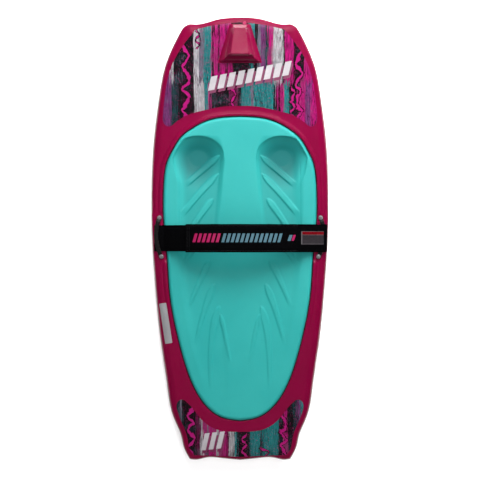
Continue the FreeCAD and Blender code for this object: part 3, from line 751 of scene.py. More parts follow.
def build_foam():
    """The poured foam: the shell's inside, round the pad recess."""
    hull, pad, gap, hull_out, pad_out = plan_loops(3.0, 320, 4)
    room = np.clip(gap, 30.0, None)[:, None]
    inner = pad + pad_out * (PAD_GAP + FOAM_GAP["wall"])
    rim = hull - hull_out * np.minimum(FOAM_INSET, room - 10.0)
    edge = hull - hull_out * np.minimum(12.0, room / 3)
    rings = [ring(inner, RECESS_FLOOR - 3.2)]
    top = FOAM_GAP["deck"]
    for plan, drop in ((inner, top), ((inner + rim) / 2, top), (rim, top), (hull - hull_out * 18.0, 17.0)):
        rings.append(ring(plan, deck_at(plan[:, 1]) - drop))
    rings.append(ring(edge, hull_at(hull[:, 1]) + 24.0))
    rings.append(ring(hull - hull_out * 16.0, hull_at(hull[:, 1]) + 9.0))
    spine = np.column_stack([np.zeros(len(hull)), np.clip(hull[:, 1], -500.0, 490.0)])
    start = hull - hull_out * FOAM_INSET
    for share in (0.0, 0.35, 0.7, 1.0):
        plan = start + (spine - start) * share
        y = plan[:, 1]
        rings.append(ring(plan, hull_at(y) + channel_depth(y) + FOAM_GAP["hull"]))
    faces = grid_faces(len(rings), len(hull), wrap=True)
    faces.append(tuple(range(len(hull))))
    return new_object("foam_fill", np.concatenate(rings), faces)


def drape(obj):
    """A function that finds the height of a piece's top surface, in millimetres."""
    bm = bmesh.new()
    bm.from_mesh(obj.data)
    tree = BVHTree.FromBMesh(bm)
    bm.free()

    def height(x, y):
        hit = tree.ray_cast(Vector((x * MM, y * MM, 0.5)), Vector((0, 0, -1)))
        return hit[0].z / MM

    return height


FIN_PLACES = (-0.52, -0.26, 0.26, 0.52)
FIN_FRONT, FIN_BACK, FIN_DEPTH = -396.0, -566.0, 6.0


def build_fins():
    """Four moulded fins with rounded crests under the tail."""
    right = [(2.0, -0.9), (3.4, -0.55), (4.6, 0.0), (5.4, 5.0)]
    section = [(-u, v) for u, v in reversed(right)] + [(0.0, -1.0)] + right
    fins = []
    for share in FIN_PLACES:
        x = share * HALF_WIDTH
        rows = []
        for y in np.linspace(FIN_FRONT, FIN_BACK + 2.0, 40):
            rise = min(1.0, (FIN_FRONT - y) / 60.0) * min(1.0, (y - FIN_BACK) / 14.0)
            depth = FIN_DEPTH * max(rise, 0.02) ** 0.8
            top = hull_at(np.array([y]))[0]
            rows.append([(x + u, y, top + (v if v > 0 else v * depth)) for u, v in section])
        fins.append(new_object("fin", *capped_tube(np.array(rows))))
    return join("tail_fins", fins)


# ---------------------------------------------------------------- tow hook

def rounded_polygon(corners, radius, steps=5):
    """A convex plan polygon with rounded corners."""
    points = []
    count = len(corners)
    for i in range(count):
        here = np.array(corners[i], float)
        before = np.array(corners[i - 1], float) - here
        after = np.array(corners[(i + 1) % count], float) - here
        a = here + before / np.linalg.norm(before) * radius
        b = here + after / np.linalg.norm(after) * radius
        for k in range(steps + 1):
            t = k / steps
            points.append((1 - t) ** 2 * a + 2 * t * (1 - t) * here + t ** 2 * b)
    return np.array(points)


HOOK_FOOT = [(-28.0, 613.0), (28.0, 613.0), (62.0, 508.0), (-62.0, 508.0)]
HOOK_WAIST = [(-22.0, 607.0), (22.0, 607.0), (41.0, 512.0), (-41.0, 512.0)]
HOOK_CREST = [(-17.0, 601.0), (17.0, 601.0), (27.0, 526.0), (-27.0, 526.0)]
HOOK_TOP = (17.0, 36.0)
HOOK_MIDDLE = (0.0, 562.0)
HOOK_SHOULDER = 0.55
GROOVE = {"behind": 530.0, "middle": 15.0, "ends": (26.0, 50.0), "depth": 13.0}


def hook_level(y, share):
    """Height above the deck of the hook's slanted top, for a share of the way up."""
    front, back = HOOK_CREST[0][1], HOOK_CREST[2][1]
    low, high = HOOK_TOP
    return (low + (high - low) * np.clip((front - y) / (front - back), 0.0, 1.0)) * share


def build_hook():
    """A wedge with rounded edges; its back is hollowed for the rope."""
    foot = rounded_polygon(HOOK_FOOT, 6.0)
    waist = rounded_polygon(HOOK_WAIST, 6.0)
    crest = rounded_polygon(HOOK_CREST, 5.0)
    centre = np.array(HOOK_MIDDLE)
    rows = []

    def add(plan, lift):
        rows.append(ring(plan, deck_at(plan[:, 1]) + lift))

    for shrink, lift in ((1.0, -3.0), (1.0, 0.3), (0.985, 0.9), (0.955, 2.2)):
        add(centre + (foot - centre) * shrink, lift)
    for share in (0.15, 0.4, 0.7, 1.0):
        plan = foot + (waist - foot) * (0.12 + 0.88 * share)
        add(plan, 3.0 + (hook_level(plan[:, 1], HOOK_SHOULDER) - 3.0) * share)
    for share in (0.25, 0.5, 0.75, 0.92):
        plan = waist + (crest - waist) * share
        add(plan, hook_level(plan[:, 1], HOOK_SHOULDER + (1 - HOOK_SHOULDER) * share))
    for shrink, extra in ((0.985, 0.02), (0.955, 0.03), (0.90, 0.032), (0.5, 0.03), (0.0, 0.03)):
        plan = centre + (crest - centre) * shrink
        add(plan, hook_level(plan[:, 1], 1.0 + extra))
    rows = np.array(rows)
    hollow_back(rows)
    vertices, faces = capped_tube(rows)
    hook = new_object("tow_hook", vertices, faces)
    sharpen(hook, 24.0)
    return hook


def hollow_back(rows):
    """Push the back wall in along a round groove, where the rope sits."""
    back = rows[..., 1] < GROOVE["behind"]
    deck = deck_at(rows[..., 1])
    height = (rows[..., 2] - deck) / GROOVE["middle"] - 1.0
    width = 1 - smoothstep(np.abs(rows[..., 0]), *GROOVE["ends"])
    push = GROOVE["depth"] * np.sqrt(np.clip(1 - height ** 2, 0.0, 1.0)) * width
    rows[..., 1] += np.where(back, push, 0.0)


# ---------------------------------------------------------------- knee pad

RIBS = [
    # start, bow point, end, width at the start, width at the end
    ((60, 243), (108, 204), (162, 156), 18, 16),
    ((64, 190), (116, 140), (170, 70), 19, 16),
    ((79, 118), (106, 88), (152, 12), 19, 14),
    ((84, 40), (116, 0), (166, -74), 18, 12),
    ((86, -60), (112, -100), (148, -196), 20, 9),
    ((74, -128), (104, -190), (129, -304), 22, 8),
    ((60, -192), (92, -270), (84, -446), 24, 8),
    ((57, -214), (44, -260), (25, -366), 13, 7),
]


def rib_height(x, y):
    """Raised flat ribs that fan out over the shins and thin to points at the tail."""
    total = np.zeros_like(x)
    ax = np.abs(x)
    t = np.linspace(0.0, 1.0, 60)[:, None]
    for start, bow, end, wide, narrow in RIBS:
        a, b, c = (np.array(p, float) for p in (start, bow, end))
        line = (1 - t) ** 2 * a + 2 * t * (1 - t) * b + t ** 2 * c
        low = line.min(axis=0) - 20
        high = line.max(axis=0) + 20
        near = (ax > low[0]) & (ax < high[0]) & (y > low[1]) & (y < high[1])
        points = np.column_stack([ax[near], y[near]])
        if not len(points):
            continue
        distance = np.linalg.norm(points[:, None, :] - line[None, :, :], axis=2)
        nearest = distance.argmin(axis=1)
        share = nearest / (len(line) - 1)
        half = (wide + (narrow - wide) * share) / 2
        half = half * np.sqrt(np.clip(share * 5 + 0.03, 0.0, 1.0))
        rise = smoothstep(half - distance.min(axis=1), -1.0, 1.6)
        tail_fade = 1 - 0.3 * smoothstep(-points[:, 1], 0.0, 420.0)
        height = 3.0 * rise * tail_fade * (1 - smoothstep(share, 0.82, 1.0))
        total[near] = np.maximum(total[near], height)
    return total


# Places along the board, and the pad's value there: distance from the centre line, or depth.
INNER_EDGE = ([-470, -360, -250, -136, -40, 58, 150, 231, 300], [30, 36, 50, 70, 72, 64, 54, 47, 60])
OUTER_EDGE = ([-480, -443, -303, -197, -60, 60, 217, 300], [70, 92, 134, 154, 170, 174, 176, 176])
CHANNEL_DEPTH = (
    [-480, -400, -300, -150, -40, 60, 160, 240, 300],
    [0.5, 2.0, 3.2, 4.8, 7.0, 9.5, 11.0, 9.0, 0],
)
RIDGE_DEPTH = ([-480, -400, -200, -40, 60, 160, 240, 300], [0, 1.0, 3.4, 7.0, 6.0, 2.2, 0.2, 0])
WELL_PLACE = (121.0, 246.0)
WELL_DEPTH = 22.0
PAD_RIM = 10.0
WELL_REACH = {"across": 74.0, "nose": 54.0, "tail": 124.0}


def pad_relief(x, y):
    """Depth below the pad's rim: knee wells, shin channels and the ribs in them."""
    ax = np.abs(x)
    inner = np.interp(y, *INNER_EDGE)
    outer = np.interp(y, *OUTER_EDGE)
    wall_in = smoothstep(ax, inner - 5.0, inner + 12.0)
    wall_out = 1 - smoothstep(ax, outer - 26.0, outer + 10.0)
    ridge = np.interp(y, *RIDGE_DEPTH) * (1 - smoothstep(ax, outer - 20.0, outer + 10.0))
    channel = ridge + (np.interp(y, *CHANNEL_DEPTH) - ridge) * wall_in * wall_out
    past = (y - WELL_PLACE[1]) / np.where(y > WELL_PLACE[1], WELL_REACH["nose"], WELL_REACH["tail"])
    r = np.hypot((ax - WELL_PLACE[0]) / WELL_REACH["across"], past)
    bowl = np.clip(1.0 - r ** 2, 0.0, 1.0)
    crisp = bowl ** 0.62 * smoothstep(1.0 - r, -0.01, 0.05)
    gentle = bowl ** 1.5
    tailward = np.clip(-past / np.maximum(r, 0.01), 0.0, 1.0) ** 1.5
    well = WELL_DEPTH * (crisp + (gentle - crisp) * tailward)
    hollow = np.sqrt(channel ** 2 + well ** 2)
    ribs = rib_height(x, y) * smoothstep(hollow, 0.2, 2.4)
    crease = 0.9 * np.exp(-((ax - 173.0) / 1.5) ** 2)
    seam = crease * smoothstep(y, -20.0, 30.0) * (1 - smoothstep(y, 205.0, 235.0))
    return np.minimum(hollow, WELL_DEPTH) - ribs + seam


def transfinite(bottom, top, left, right):
    """A grid of points inside four boundary lines."""
    u = np.linspace(0, 1, len(bottom))[:, None, None]
    v = np.linspace(0, 1, len(left))[None, :, None]
    edges = (1 - v) * bottom[:, None] + v * top[:, None] + (1 - u) * left[None] + u * right[None]
    corners = (1 - u) * (1 - v) * bottom[0] + u * (1 - v) * bottom[-1]
    corners = corners + (1 - u) * v * top[0] + u * v * top[-1]
    return edges - corners


def build_pad():
    """A closed pad: flat underneath, rounded rim, sculpted top."""
    columns, lines = 196, 430
    loop = resample(PAD_LOOP, 2 * (columns + lines))
    out = outward_normals(loop, 2)
    rings = []

    def add(inset, z):
        rings.append(ring(loop - out * inset, z))

    def level(inset):
        return deck_at((loop - out * inset)[:, 1]) + PAD_PROUD

    for inset, up in ((6.0, 0.0), (1.5, 0.0), (0.3, 1.2), (0.0, 4.0)):
        add(inset, RECESS_FLOOR + up)
    add(0.0, level(0.0) - 15.0)
    for degrees in range(0, 85, 12):
        turn = math.radians(degrees)
        inset = PAD_RIM * (1 - math.cos(turn))
        add(inset, level(inset) - PAD_RIM * (1 - math.sin(turn)))
    edge = loop - out * (PAD_RIM + 2.0)
    half = columns // 2
    order = np.roll(edge, half, axis=0)
    top = order[:columns + 1]
    right = order[columns:columns + lines + 1]
    bottom = order[columns + lines:2 * columns + lines + 1]
    left = np.vstack([order[2 * columns + lines:], order[:1]])
    grid = transfinite(bottom[::-1], top, left, right[::-1])
    x, y = grid[..., 0], grid[..., 1]
    z = deck_at(y) + PAD_PROUD - pad_relief(x, y)
    inside = np.dstack([grid, z]).reshape(-1, 3)
    vertices = np.concatenate(rings + [inside])
    base = len(rings) * len(loop)
    faces = grid_faces(len(rings), len(loop), wrap=True)
    faces.append(tuple(range(len(loop)))[::-1])
    rows, cols = grid.shape[:2]
    faces += grid_faces(rows, cols, start=base)
    index = np.arange(rows * cols).reshape(rows, cols) + base
    walk = list(index[:, -1]) + list(index[-1, -2::-1]) + list(index[-2::-1, 0]) + list(index[0, 1:-1])
    last = base - len(loop)
    for k in range(len(loop)):
        a = last + (k - half) % len(loop)
        b = last + (k + 1 - half) % len(loop)
        faces.append((a, b, walk[(k + 1) % len(loop)], walk[k]))
    pad = new_object("knee_pad_foam", vertices, faces)
    # The relief's depth at each point, which the pad's material turns into painted shade.
    plan = np.array([vertex.co for vertex in pad.data.vertices]) / MM
    painted_well_shade = pad.data.attributes.new("moulded", "FLOAT", "POINT")
    painted_well_shade.data.foreach_set("value", pad_relief(plan[:, 0], plan[:, 1]).astype(np.float32))
    return pad


# ---------------------------------------------------------------- films

def inside_loop(loop, x, y):
    """Whether points lie inside a closed loop."""
    result = np.zeros(len(x), bool)
    ahead = np.roll(loop, -1, axis=0)
    for (x1, y1), (x2, y2) in zip(loop, ahead):
        crosses = (y1 > y) != (y2 > y)
        if y1 != y2:
            result ^= crosses & (x < (x2 - x1) * (y - y1) / (y2 - y1) + x1)
    return result


def draped_sheet(name, loop, height, lift, spacing, hole=None, thickness=0.25):
    """A thin sheet with a plan outline that lies on a surface."""
    loops = [loop] if hole is None else [loop, hole]

    def covered(x, y):
        within = inside_loop(loop, x, y)
        return within if hole is None else within & ~inside_loop(hole, x, y)

    points = [tuple(p) for line in loops for p in line]
    edges = []
    start = 0
    for line in loops:
        edges += [(start + i, start + (i + 1) % len(line)) for i in range(len(line))]
        start += len(line)
    low, high = loop.min(axis=0), loop.max(axis=0)
    gx, gy = np.meshgrid(np.arange(low[0], high[0], spacing), np.arange(low[1], high[1], spacing))
    gx, gy = gx.ravel(), gy.ravel()
    _, clear = closest_on(np.vstack(loops), np.column_stack([gx, gy]))
    keep = covered(gx, gy) & (clear > spacing * 0.5)
    points += list(zip(gx[keep], gy[keep]))
    flat = delaunay_2d_cdt([Vector(p) for p in points], edges, [], 0, 1e-4)
    plan = np.array([tuple(v) for v in flat[0]])
    faces = []
    for face in flat[2]:
        middle = plan[list(face)].mean(axis=0)[None]
        if covered(middle[:, 0], middle[:, 1])[0]:
            faces.append(face)
    vertices = [(x, y, height(x, y) + lift) for x, y in plan]
    obj = new_object(name, vertices, faces)
    thicken(obj, thickness)
    sharpen(obj)
    return obj


def thicken(obj, thickness):
    """Close a sheet over with a copy of itself, lifted by a thickness."""
    with editing(obj) as bm:
        rim = [edge for edge in bm.edges if edge.is_boundary]
        top = bmesh.ops.duplicate(bm, geom=bm.verts[:] + bm.edges[:] + bm.faces[:])
        for item in top["geom"]:
            if isinstance(item, bmesh.types.BMVert):
                item.co.z += thickness * MM
        pairs = top["vert_map"]
        for edge in rim:
            a, b = edge.verts
            bm.faces.new((a, b, pairs[b], pairs[a]))
        bmesh.ops.recalc_face_normals(bm, faces=bm.faces)


HOOK_CUT = [(-29.5, 614.8), (29.5, 614.8), (64.0, 506.0), (-64.0, 506.0)]


def build_films(height):
    """The printed films on the nose, cut out round the tow hook, and on the tail."""
    hook_hole = rounded_polygon(HOOK_CUT, 5.0)
    for end, shares, hole in (("nose", NOSE_DECAL, hook_hole), ("tail", TAIL_DECAL, None)):
        outline = closed_outline([scaled(s, HALF_WIDTH, HALF_LENGTH) for s in shares], 6.0)
        film = draped_sheet(f"{end}_film", outline, height, 0.15, 6.0, hole=hole)
        finish_piece(film, f"{end}_film", "board", f"{end}_decal", f"{end}_decal")


def add_plate(vertices, faces, rows, columns, thick, spot):
    """Add a thin closed plate; spot gives the point for two shares from -0.5 to 0.5 and a level."""
    base = len(vertices)
    layer = rows * columns
    for level in (0.0, thick):
        for u in np.linspace(-0.5, 0.5, rows):
            vertices += [spot(u, v, level) for v in np.linspace(-0.5, 0.5, columns)]
    for face in grid_faces(rows, columns, start=base):
        faces += [face, tuple(k + layer for k in reversed(face))]
    rim = [base + i * columns for i in range(rows)]
    rim += [base + layer - columns + j for j in range(1, columns)]
    rim += [base + (i + 1) * columns - 1 for i in range(rows - 2, -1, -1)]
    rim += [base + j for j in range(columns - 2, 0, -1)]
    for k, a in enumerate(rim):
        b = rim[(k + 1) % len(rim)]
        faces.append((a, b, b + layer, a + layer))


BAR_LEAN = math.radians(13.0)
BAR_SHADOW = {"shift": (3.5, -8.0), "wider": 1.5, "lift": 0.38}
BAR_LIFT = 0.65


def slanted_bars(name, height, centre, rise, places, bar_width, bar_height, lift, shift=(0.0, 0.0)):
    """Thin slanted bars in a row on the deck, in place of any lettering."""
    vertices, faces = [], []
    turn = math.radians(rise)
    along = np.array([math.cos(turn), math.sin(turn)])
    up = np.array([math.sin(BAR_LEAN), math.cos(BAR_LEAN)])

    def spot(place, u, v, level):
        plan = np.array(centre) + shift + along * (place + u * bar_width) + up * v * bar_height
        return (*plan, height(*plan) + lift + level)

    for place in places:
        add_plate(vertices, faces, 5, 7, 0.22, lambda u, v, level: spot(place, u, v, level))
    return new_object(name, vertices, faces, smooth=False)


def build_stripes(height):
    """White slanted bars with a plum shadow, in place of the lettering on both films."""
    for end, centre, rise, places, wide, tall in (
        ("nose", (28.0, 470.0), 11.0, np.arange(-108.0, 109.0, 27.0), 19.0, 41.0),
        ("tail", (-78.0, -578.0), 6.0, (-22.0, 0.0, 22.0), 14.0, 50.0),
    ):
        shadow = slanted_bars(f"{end}_bar_shadow", height, centre, rise, places, wide + BAR_SHADOW["wider"],
                              tall, BAR_SHADOW["lift"], BAR_SHADOW["shift"])
        finish_piece(shadow, "print_plum", "board", f"{end}_decal")
        bars = slanted_bars(f"{end}_bars", height, centre, rise, places, wide, tall, BAR_LIFT)
        finish_piece(bars, "print_white", "board", f"{end}_decal")


LABEL_SIZE = (21.0, 117.0)
LABEL_PLACE = (-214.0, -240.0)
LABEL_TURN = 8.7


def build_label(height):
    """The grey label on the left rail."""
    wide, long = LABEL_SIZE[0] / 2, LABEL_SIZE[1] / 2
    corners = np.array([(-wide, long), (wide, long), (wide, -long), (-wide, -long)])
    turn = math.radians(LABEL_TURN)
    spin = np.array([[math.cos(turn), math.sin(turn)], [-math.sin(turn), math.cos(turn)]])
    loop = resample(rounded_polygon(corners, 1.5, 3) @ spin + LABEL_PLACE, 90)
    sheet = draped_sheet("rail_label", loop, height, 0.12, 3.0, thickness=0.2)
    finish_piece(sheet, "label", "board", "label", "side_label")


# ---------------------------------------------------------------- strap

flap_low, flap_high = node_box("strap_flap_1")
STRAP_CENTRE = (flap_low[1] + flap_high[1]) / 2
FLAP_WIDTH = flap_high[1] - flap_low[1]
WEBBING_WIDTH = 75.0
FASTENER_WIDTH = 70.0
HINGES = [joint["pos_m"][0] / MM for joint in frame["joints"]]
FLAP_PITCH = HINGES[0] - HINGES[1]
FREE_END = node_box("strap_flap_4")[0][0]
REACH = -node_box("strap_webbing")[0][0]
FLAT_END = 225.0
BEND = 20.0
# The arch's underside at the middle, and the flap's upper face over that underside.
CROWN = 112.0
TOP = 8.1
THICK = 2.4
PILE = 1.5
ARC_STEP = 2.5
STITCH_PITCH = 4.2
EDGE_SEAM = 4.6
SLOPE = 2 * math.atan((CROWN - DECK_LEVEL) / FLAT_END)
ARCH = FLAT_END / math.sin(SLOPE) - BEND
ARCH_CENTRE = CROWN - ARCH


def strap_point(angle, offset):
    """A point of the arch and its outward direction, for an angle from the crown."""
    out = np.array([math.sin(angle), 0.0, math.cos(angle)])
    return np.array([0.0, STRAP_CENTRE, ARCH_CENTRE]) + out * (ARCH + offset), out


def arch_angle(x):
    """The arch's angle where its top surface crosses a place."""
    return math.asin(x / (ARCH + TOP))


def arc(a, b, offset):
    """Points along the arch between two angles from the crown."""
    count = max(3, int(abs(b - a) * ARCH / ARC_STEP))
    return [strap_point(angle, offset) for angle in np.linspace(a, b, count)]


def arch_path(first, last, offset):
    """Points along the arch between two places on its top surface."""
    return arc(arch_angle(first), arch_angle(last), offset)


def arch_to_slope(side, start, offset):
    """Points from a place on the arch to where it meets the bend on one side."""
    return arc(arch_angle(start), side * SLOPE, offset)


def leg_path(side, offset):
    """From the arch's end, round the bend and out along the deck to the bracket's bar."""
    points = []
    for angle in np.linspace(SLOPE, 0.0, 10)[1:]:
        out = np.array([side * math.sin(angle), 0.0, math.cos(angle)])
        centre = np.array([side * FLAT_END, STRAP_CENTRE, DECK_LEVEL + BEND])
        points.append((centre - out * (BEND - offset), out))
    for x in np.linspace(FLAT_END, REACH, 8)[1:]:
        points.append((np.array([side * x, STRAP_CENTRE, DECK_LEVEL + offset]), np.array([0.0, 0.0, 1.0])))
    return points


def band_section(width, thick):
    """A flat band with round edges and a shallow sewn groove beside each edge."""
    half = width / 2
    r = thick / 2
    right = [(half - r + r * math.cos(a), r + r * math.sin(a)) for a in np.radians([-90, -50, 0, 50, 90])]
    top = [(half - 3.6, thick), (half - 4.2, thick - 0.35), (half - 5.0, thick - 0.35), (half - 5.6, thick)]
    top += [(half * share, thick) for share in (0.6, 0.2)]
    side = right + top
    return side + [(-u, v) for u, v in reversed(side)]


def band(name, path, width, thick):
    """A band laid along a path of (point on its underside, outward direction)."""
    widths = width if callable(width) else (lambda share: width)
    across = np.array([0.0, 1.0, 0.0])
    rows = []
    for index, (point, out) in enumerate(path):
        section = band_section(widths(index / (len(path) - 1)), thick)
        rows.append([point + across * u + out * v for u, v in section])
    obj = new_object(name, *capped_tube(np.array(rows)))
    sharpen(obj, 50.0)
    return obj


def fold_path():
    """Half a turn round the right bar, from the lower layer's underside to the top layer's inside."""
    middle = DECK_LEVEL + TOP / 2
    points = []
    for angle in np.linspace(math.pi, 0.0, 14):
        out = np.array([math.sin(angle), 0.0, math.cos(angle)])
        points.append((np.array([REACH, STRAP_CENTRE, middle]) + out * TOP / 2, out))
    return points


def build_webbing():
    """One length of webbing: under the left bar, over the pad, round the right bar and back."""
    path = list(reversed(leg_path(-1, 0.0))) + list(reversed(arch_to_slope(-1, 0.0, 0.0)))
    path += arch_to_slope(1, 0.0, 0.0)[1:] + leg_path(1, 0.0)
    back = [(point, -out) for point, out in reversed(leg_path(1, TOP))]
    root = [(point, -out) for point, out in reversed(arch_to_slope(1, HINGES[0], TOP))]
    lower = band("webbing_lower", path, WEBBING_WIDTH, THICK)
    loop = [(point, -out) for point, out in fold_path()]
    upper = band("webbing_fold", loop + back[1:] + root[1:],
                 lambda share: WEBBING_WIDTH + (FLAP_WIDTH - WEBBING_WIDTH) * min(1.0, share * 4), THICK)
    return join("webbing_fixed", [lower, upper])


def stitch_rows(name, first, last, lines, lift):
    """Rows of short stitches along the arch, each a small rounded bead."""
    a, b = arch_angle(first), arch_angle(last)
    pitch = STITCH_PITCH / ARCH
    angles = np.arange(min(a, b) + pitch / 2, max(a, b), pitch)
    vertices, faces = [], []
    for line in lines:
        for angle in angles:
            bead(vertices, faces, angle, line, lift)
    return new_object(name, vertices, faces)


def bead(vertices, faces, angle, line, lift, long=2.9, wide=0.75, tall=0.45):
    """One stitch: a low faceted bead on the strap's top."""
    base = len(vertices)
    hexagon = [(-0.5, 0.0), (-0.3, 0.5), (0.3, 0.5), (0.5, 0.0), (0.3, -0.5), (-0.3, -0.5)]
    for scale, height in ((1.0, -0.15), (1.0, 0.2 * tall), (0.62, tall)):
        for u, v in hexagon:
            point, _ = strap_point(angle + u * long * scale / ARCH, lift + height)
            vertices.append(point + np.array([0.0, line + v * wide * scale, 0.0]))
    faces += [tuple(base + i for i in reversed(range(6))), tuple(base + 12 + i for i in range(6))]
    for level in (0, 6):
        for i in range(6):
            j = (i + 1) % 6
            faces.append((base + level + i, base + level + j, base + level + 6 + j, base + level + 6 + i))


def end_rows(name, places, lift):
    """Stitches across the flap's free end."""
    vertices, faces = [], []
    for place in places:
        angle = arch_angle(place)
        for line in np.arange(-32.0, 32.1, 4.0):
            bead(vertices, faces, angle, line, lift, long=0.8, wide=2.9)
    return new_object(name, vertices, faces)


def spread(obj):
    """Bake a piece's placement into its mesh."""
    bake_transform(obj)


def flap_span(index):
    """Where the index-th flap piece starts and ends: from mid-segment to mid-segment."""
    start = HINGES[0] - 0.4 if index == 0 else HINGES[index] + FLAP_PITCH / 2
    end = FREE_END if index == len(HINGES) - 1 else HINGES[index] - FLAP_PITCH / 2
    return start, end


def build_flap():
    """The flap that peels back, with its hook tape and its stitching."""
    for index in range(len(HINGES)):
        start, end = flap_span(index)
        nodes = {min(index + 1, len(HINGES)), max(index, 1)}
        flap = band(f"flap_webbing_{index + 1}", arch_path(start, end, TOP - THICK), FLAP_WIDTH, THICK)
        attach(flap, "webbing", "webbing", index, *[f"strap_flap_{n}" for n in sorted(nodes)])
        low = TOP - THICK - PILE
        hooks = band(f"flap_hooks_{index + 1}", arch_path(start, end + (3 if index == 3 else 0), low),
                     FASTENER_WIDTH, PILE)
        attach(hooks, "hooks", "hooks", index, *[f"strap_hooks_{n}" for n in sorted(nodes)])
        edge = FLAP_WIDTH / 2 - EDGE_SEAM
        rows = stitch_rows(f"flap_edge_stitches_{index + 1}", start, end, (-edge, edge), TOP - 0.3)
        attach(rows, "thread", "thread", index)
    stitches = end_rows("flap_end_stitches", (FREE_END + 4.5, FREE_END + 10.5), TOP)
    attach(stitches, "thread", "thread", len(HINGES) - 1, "flap_end_stitching")


def attach(obj, material, slot, index, *nodes):
    """Describe a piece of the flap and bake its placement into its mesh."""
    describe(obj, material, slot, *nodes)
    spread(obj)


def plates(name, centres, width, height, lean):
    """Thin parallelograms side by side on the strap, as one piece."""
    vertices, faces = [], []

    def spot(centre, u, v, level):
        point, _ = strap_point(arch_angle(centre + u * width + v * lean), TOP - 0.05 + level)
        return point + np.array([0.0, v * height + 1.0, 0.0])

    for centre in centres:
        add_plate(vertices, faces, 6, 2, 0.25, lambda u, v, level: spot(centre, u, v, level))
    return new_object(name, vertices, faces, smooth=False)


PRINT_PINK = (-134.0, -56.0)
PRINT_BLUE = (-52.0, 120.0)
PRINT_PITCH = 13.2
PRINT_BAR = (PRINT_PITCH * 0.62, 25.0, 7.0)
LOZENGE = (("blue", 142.0, 9.0), ("pink", 152.5, 7.0))


def build_prints():
    """Plain slanted bars printed on the flap, in two colours, and a small lozenge."""
    for label, (low, high) in (("pink", PRINT_PINK), ("blue", PRINT_BLUE)):
        centres = np.arange(low + PRINT_PITCH / 2, high, PRINT_PITCH)
        for index in range(len(HINGES)):
            start, end = flap_span(index)
            mine = [c for c in centres if end < c <= start]
            if not mine:
                continue
            bars = plates(f"strap_bars_{label}_{index + 1}", mine, *PRINT_BAR)
            attach(bars, f"print_{label}", "webbing", index)
    for label, centre, width in LOZENGE:
        half = plates(f"strap_lozenge_{label}", [centre], width, 17.0, 6.0)
        attach(half, f"print_{label}", "webbing", 0)


def build_pile():
    """The loop pile on the lower layer, which the hooks grip."""
    pile = band("loop_pile", arch_path(HINGES[0] - 0.5, FREE_END + 0.5, THICK), FASTENER_WIDTH, PILE)
    finish_piece(pile, "pile", "board", "loop_pile", "strap_loop_pile")


PATCH = (174.0, 243.0)
PATCH_SIDES = (-13.0, 25.0)


def top_strip(name, first, last, low, high, lift, thick):
    """A thin strip on the fixed part of the top layer, between two places across the strap."""
    path = arch_to_slope(1, first, TOP + lift) + leg_path(1, TOP + lift)
    path = [(p, o) for p, o in path if p[0] <= last]
    rows = []
    for point, out in path:
        section = [(low, 0.0), (high, 0.0), (high, thick), (low, thick)]
        rows.append([point * (1, 0, 1) + np.array([0.0, u, 0.0]) + out * v for u, v in section])
    return new_object(name, *capped_tube(np.array(rows)), smooth=False)


def build_patch():
    """The sewn patch by the right bar: a dark field, a red band and pale border lines."""
    low, high = PATCH_SIDES
    field = top_strip("patch_field", PATCH[0], PATCH[1], low, high, -0.1, 0.4)
    finish_piece(field, "patch", "board", "patch", "strap_label_patch")
    red = top_strip("patch_band", PATCH[0] + 2, PATCH[1] - 1, high - 9.5, high - 1.5, 0.3, 0.15)
    finish_piece(red, "patch_red", "board", "patch")
    lines = [top_strip("line", PATCH[0] + 1, PATCH[1] - 1, at, at + 0.9, 0.3, 0.15)
             for at in (low + 1.0, high - 11.0, high - 1.2)]
    lines.append(top_strip("line", PATCH[0] + 0.8, PATCH[0] + 4.5, low + 1.0, high - 1.0, 0.3, 0.16))
    finish_piece(join("patch_lines", lines), "patch_line", "board", "patch")


# ---------------------------------------------------------------- brackets and fixings

SCREW_SPACING = 112.0
FOOT_LINE = 229.0
BULGE = 12.0
BAR_WIDTH = 12.0
PLATE = 3.3
WASHER = 1.0
INSERT_LENGTH = 14.0
FOOT_RADIUS = 7.0
TILT = math.radians(3.07)
BAR_HALF_LENGTH = 45.0
RAMP = 4.5


def bracket_frame(side, x, y):
    """A place given in a bracket's own axes, in the board's."""
    turn = -TILT if side > 0 else math.pi + TILT
    c, s = math.cos(turn), math.sin(turn)
    return np.array([side * FOOT_LINE + c * x - s * y, BRACKET_CENTRE + s * x + c * y])


def rounded_box(left, right, low, high, radius, step):
    """A section of four quarter turns round the corners of a box."""
    section = []
    for x, z, start in ((right, low, -90), (right, high, 0), (left, high, 90), (left, low, 180)):
        for degrees in range(0, 91, step):
            turn = math.radians(start + degrees)
            section.append((x + radius * math.cos(turn), z + radius * math.sin(turn)))
    return section


def build_bracket(side):
    """A bowed strip with rounded edges: round feet on the deck and a raised bar."""
    chord = SCREW_SPACING / 2
    bow = (chord ** 2 + BULGE ** 2) / (2 * BULGE)
    swing = math.asin(chord / bow)
    tip = FOOT_RADIUS / bow
    rows = []
    for share in np.linspace(-1, 1, 121):
        angle = share * (swing + tip * 0.995)
        centre = np.array([BULGE - bow + bow * math.cos(angle), bow * math.sin(angle)])
        side_way = np.array([math.cos(angle), math.sin(angle)])
        past = (abs(angle) - swing) * bow
        half = BAR_WIDTH / 2
        if past > -FOOT_RADIUS:
            half = max(half if past < 0 else 0.0, math.sqrt(max(FOOT_RADIUS ** 2 - past ** 2, 0.04)))
        down = smoothstep(abs(centre[1]), BAR_HALF_LENGTH, BAR_HALF_LENGTH + RAMP * 1.6)
        r = min(1.1, half * 0.6)
        section = []
        for u, v in rounded_box(r - half, half - r, r, PLATE - r, r, 30):
            plan = centre + side_way * u
            section.append((*bracket_frame(side, *plan), DECK_LEVEL + THICK * (1 - down) + v))
        rows.append(section)
    return new_object("bracket", *capped_tube(np.array(rows)))


def screw_spots(side):
    """Where a bracket's two screws stand."""
    return [bracket_frame(side, 0.0, along) for along in (SCREW_SPACING / 2, -SCREW_SPACING / 2)]


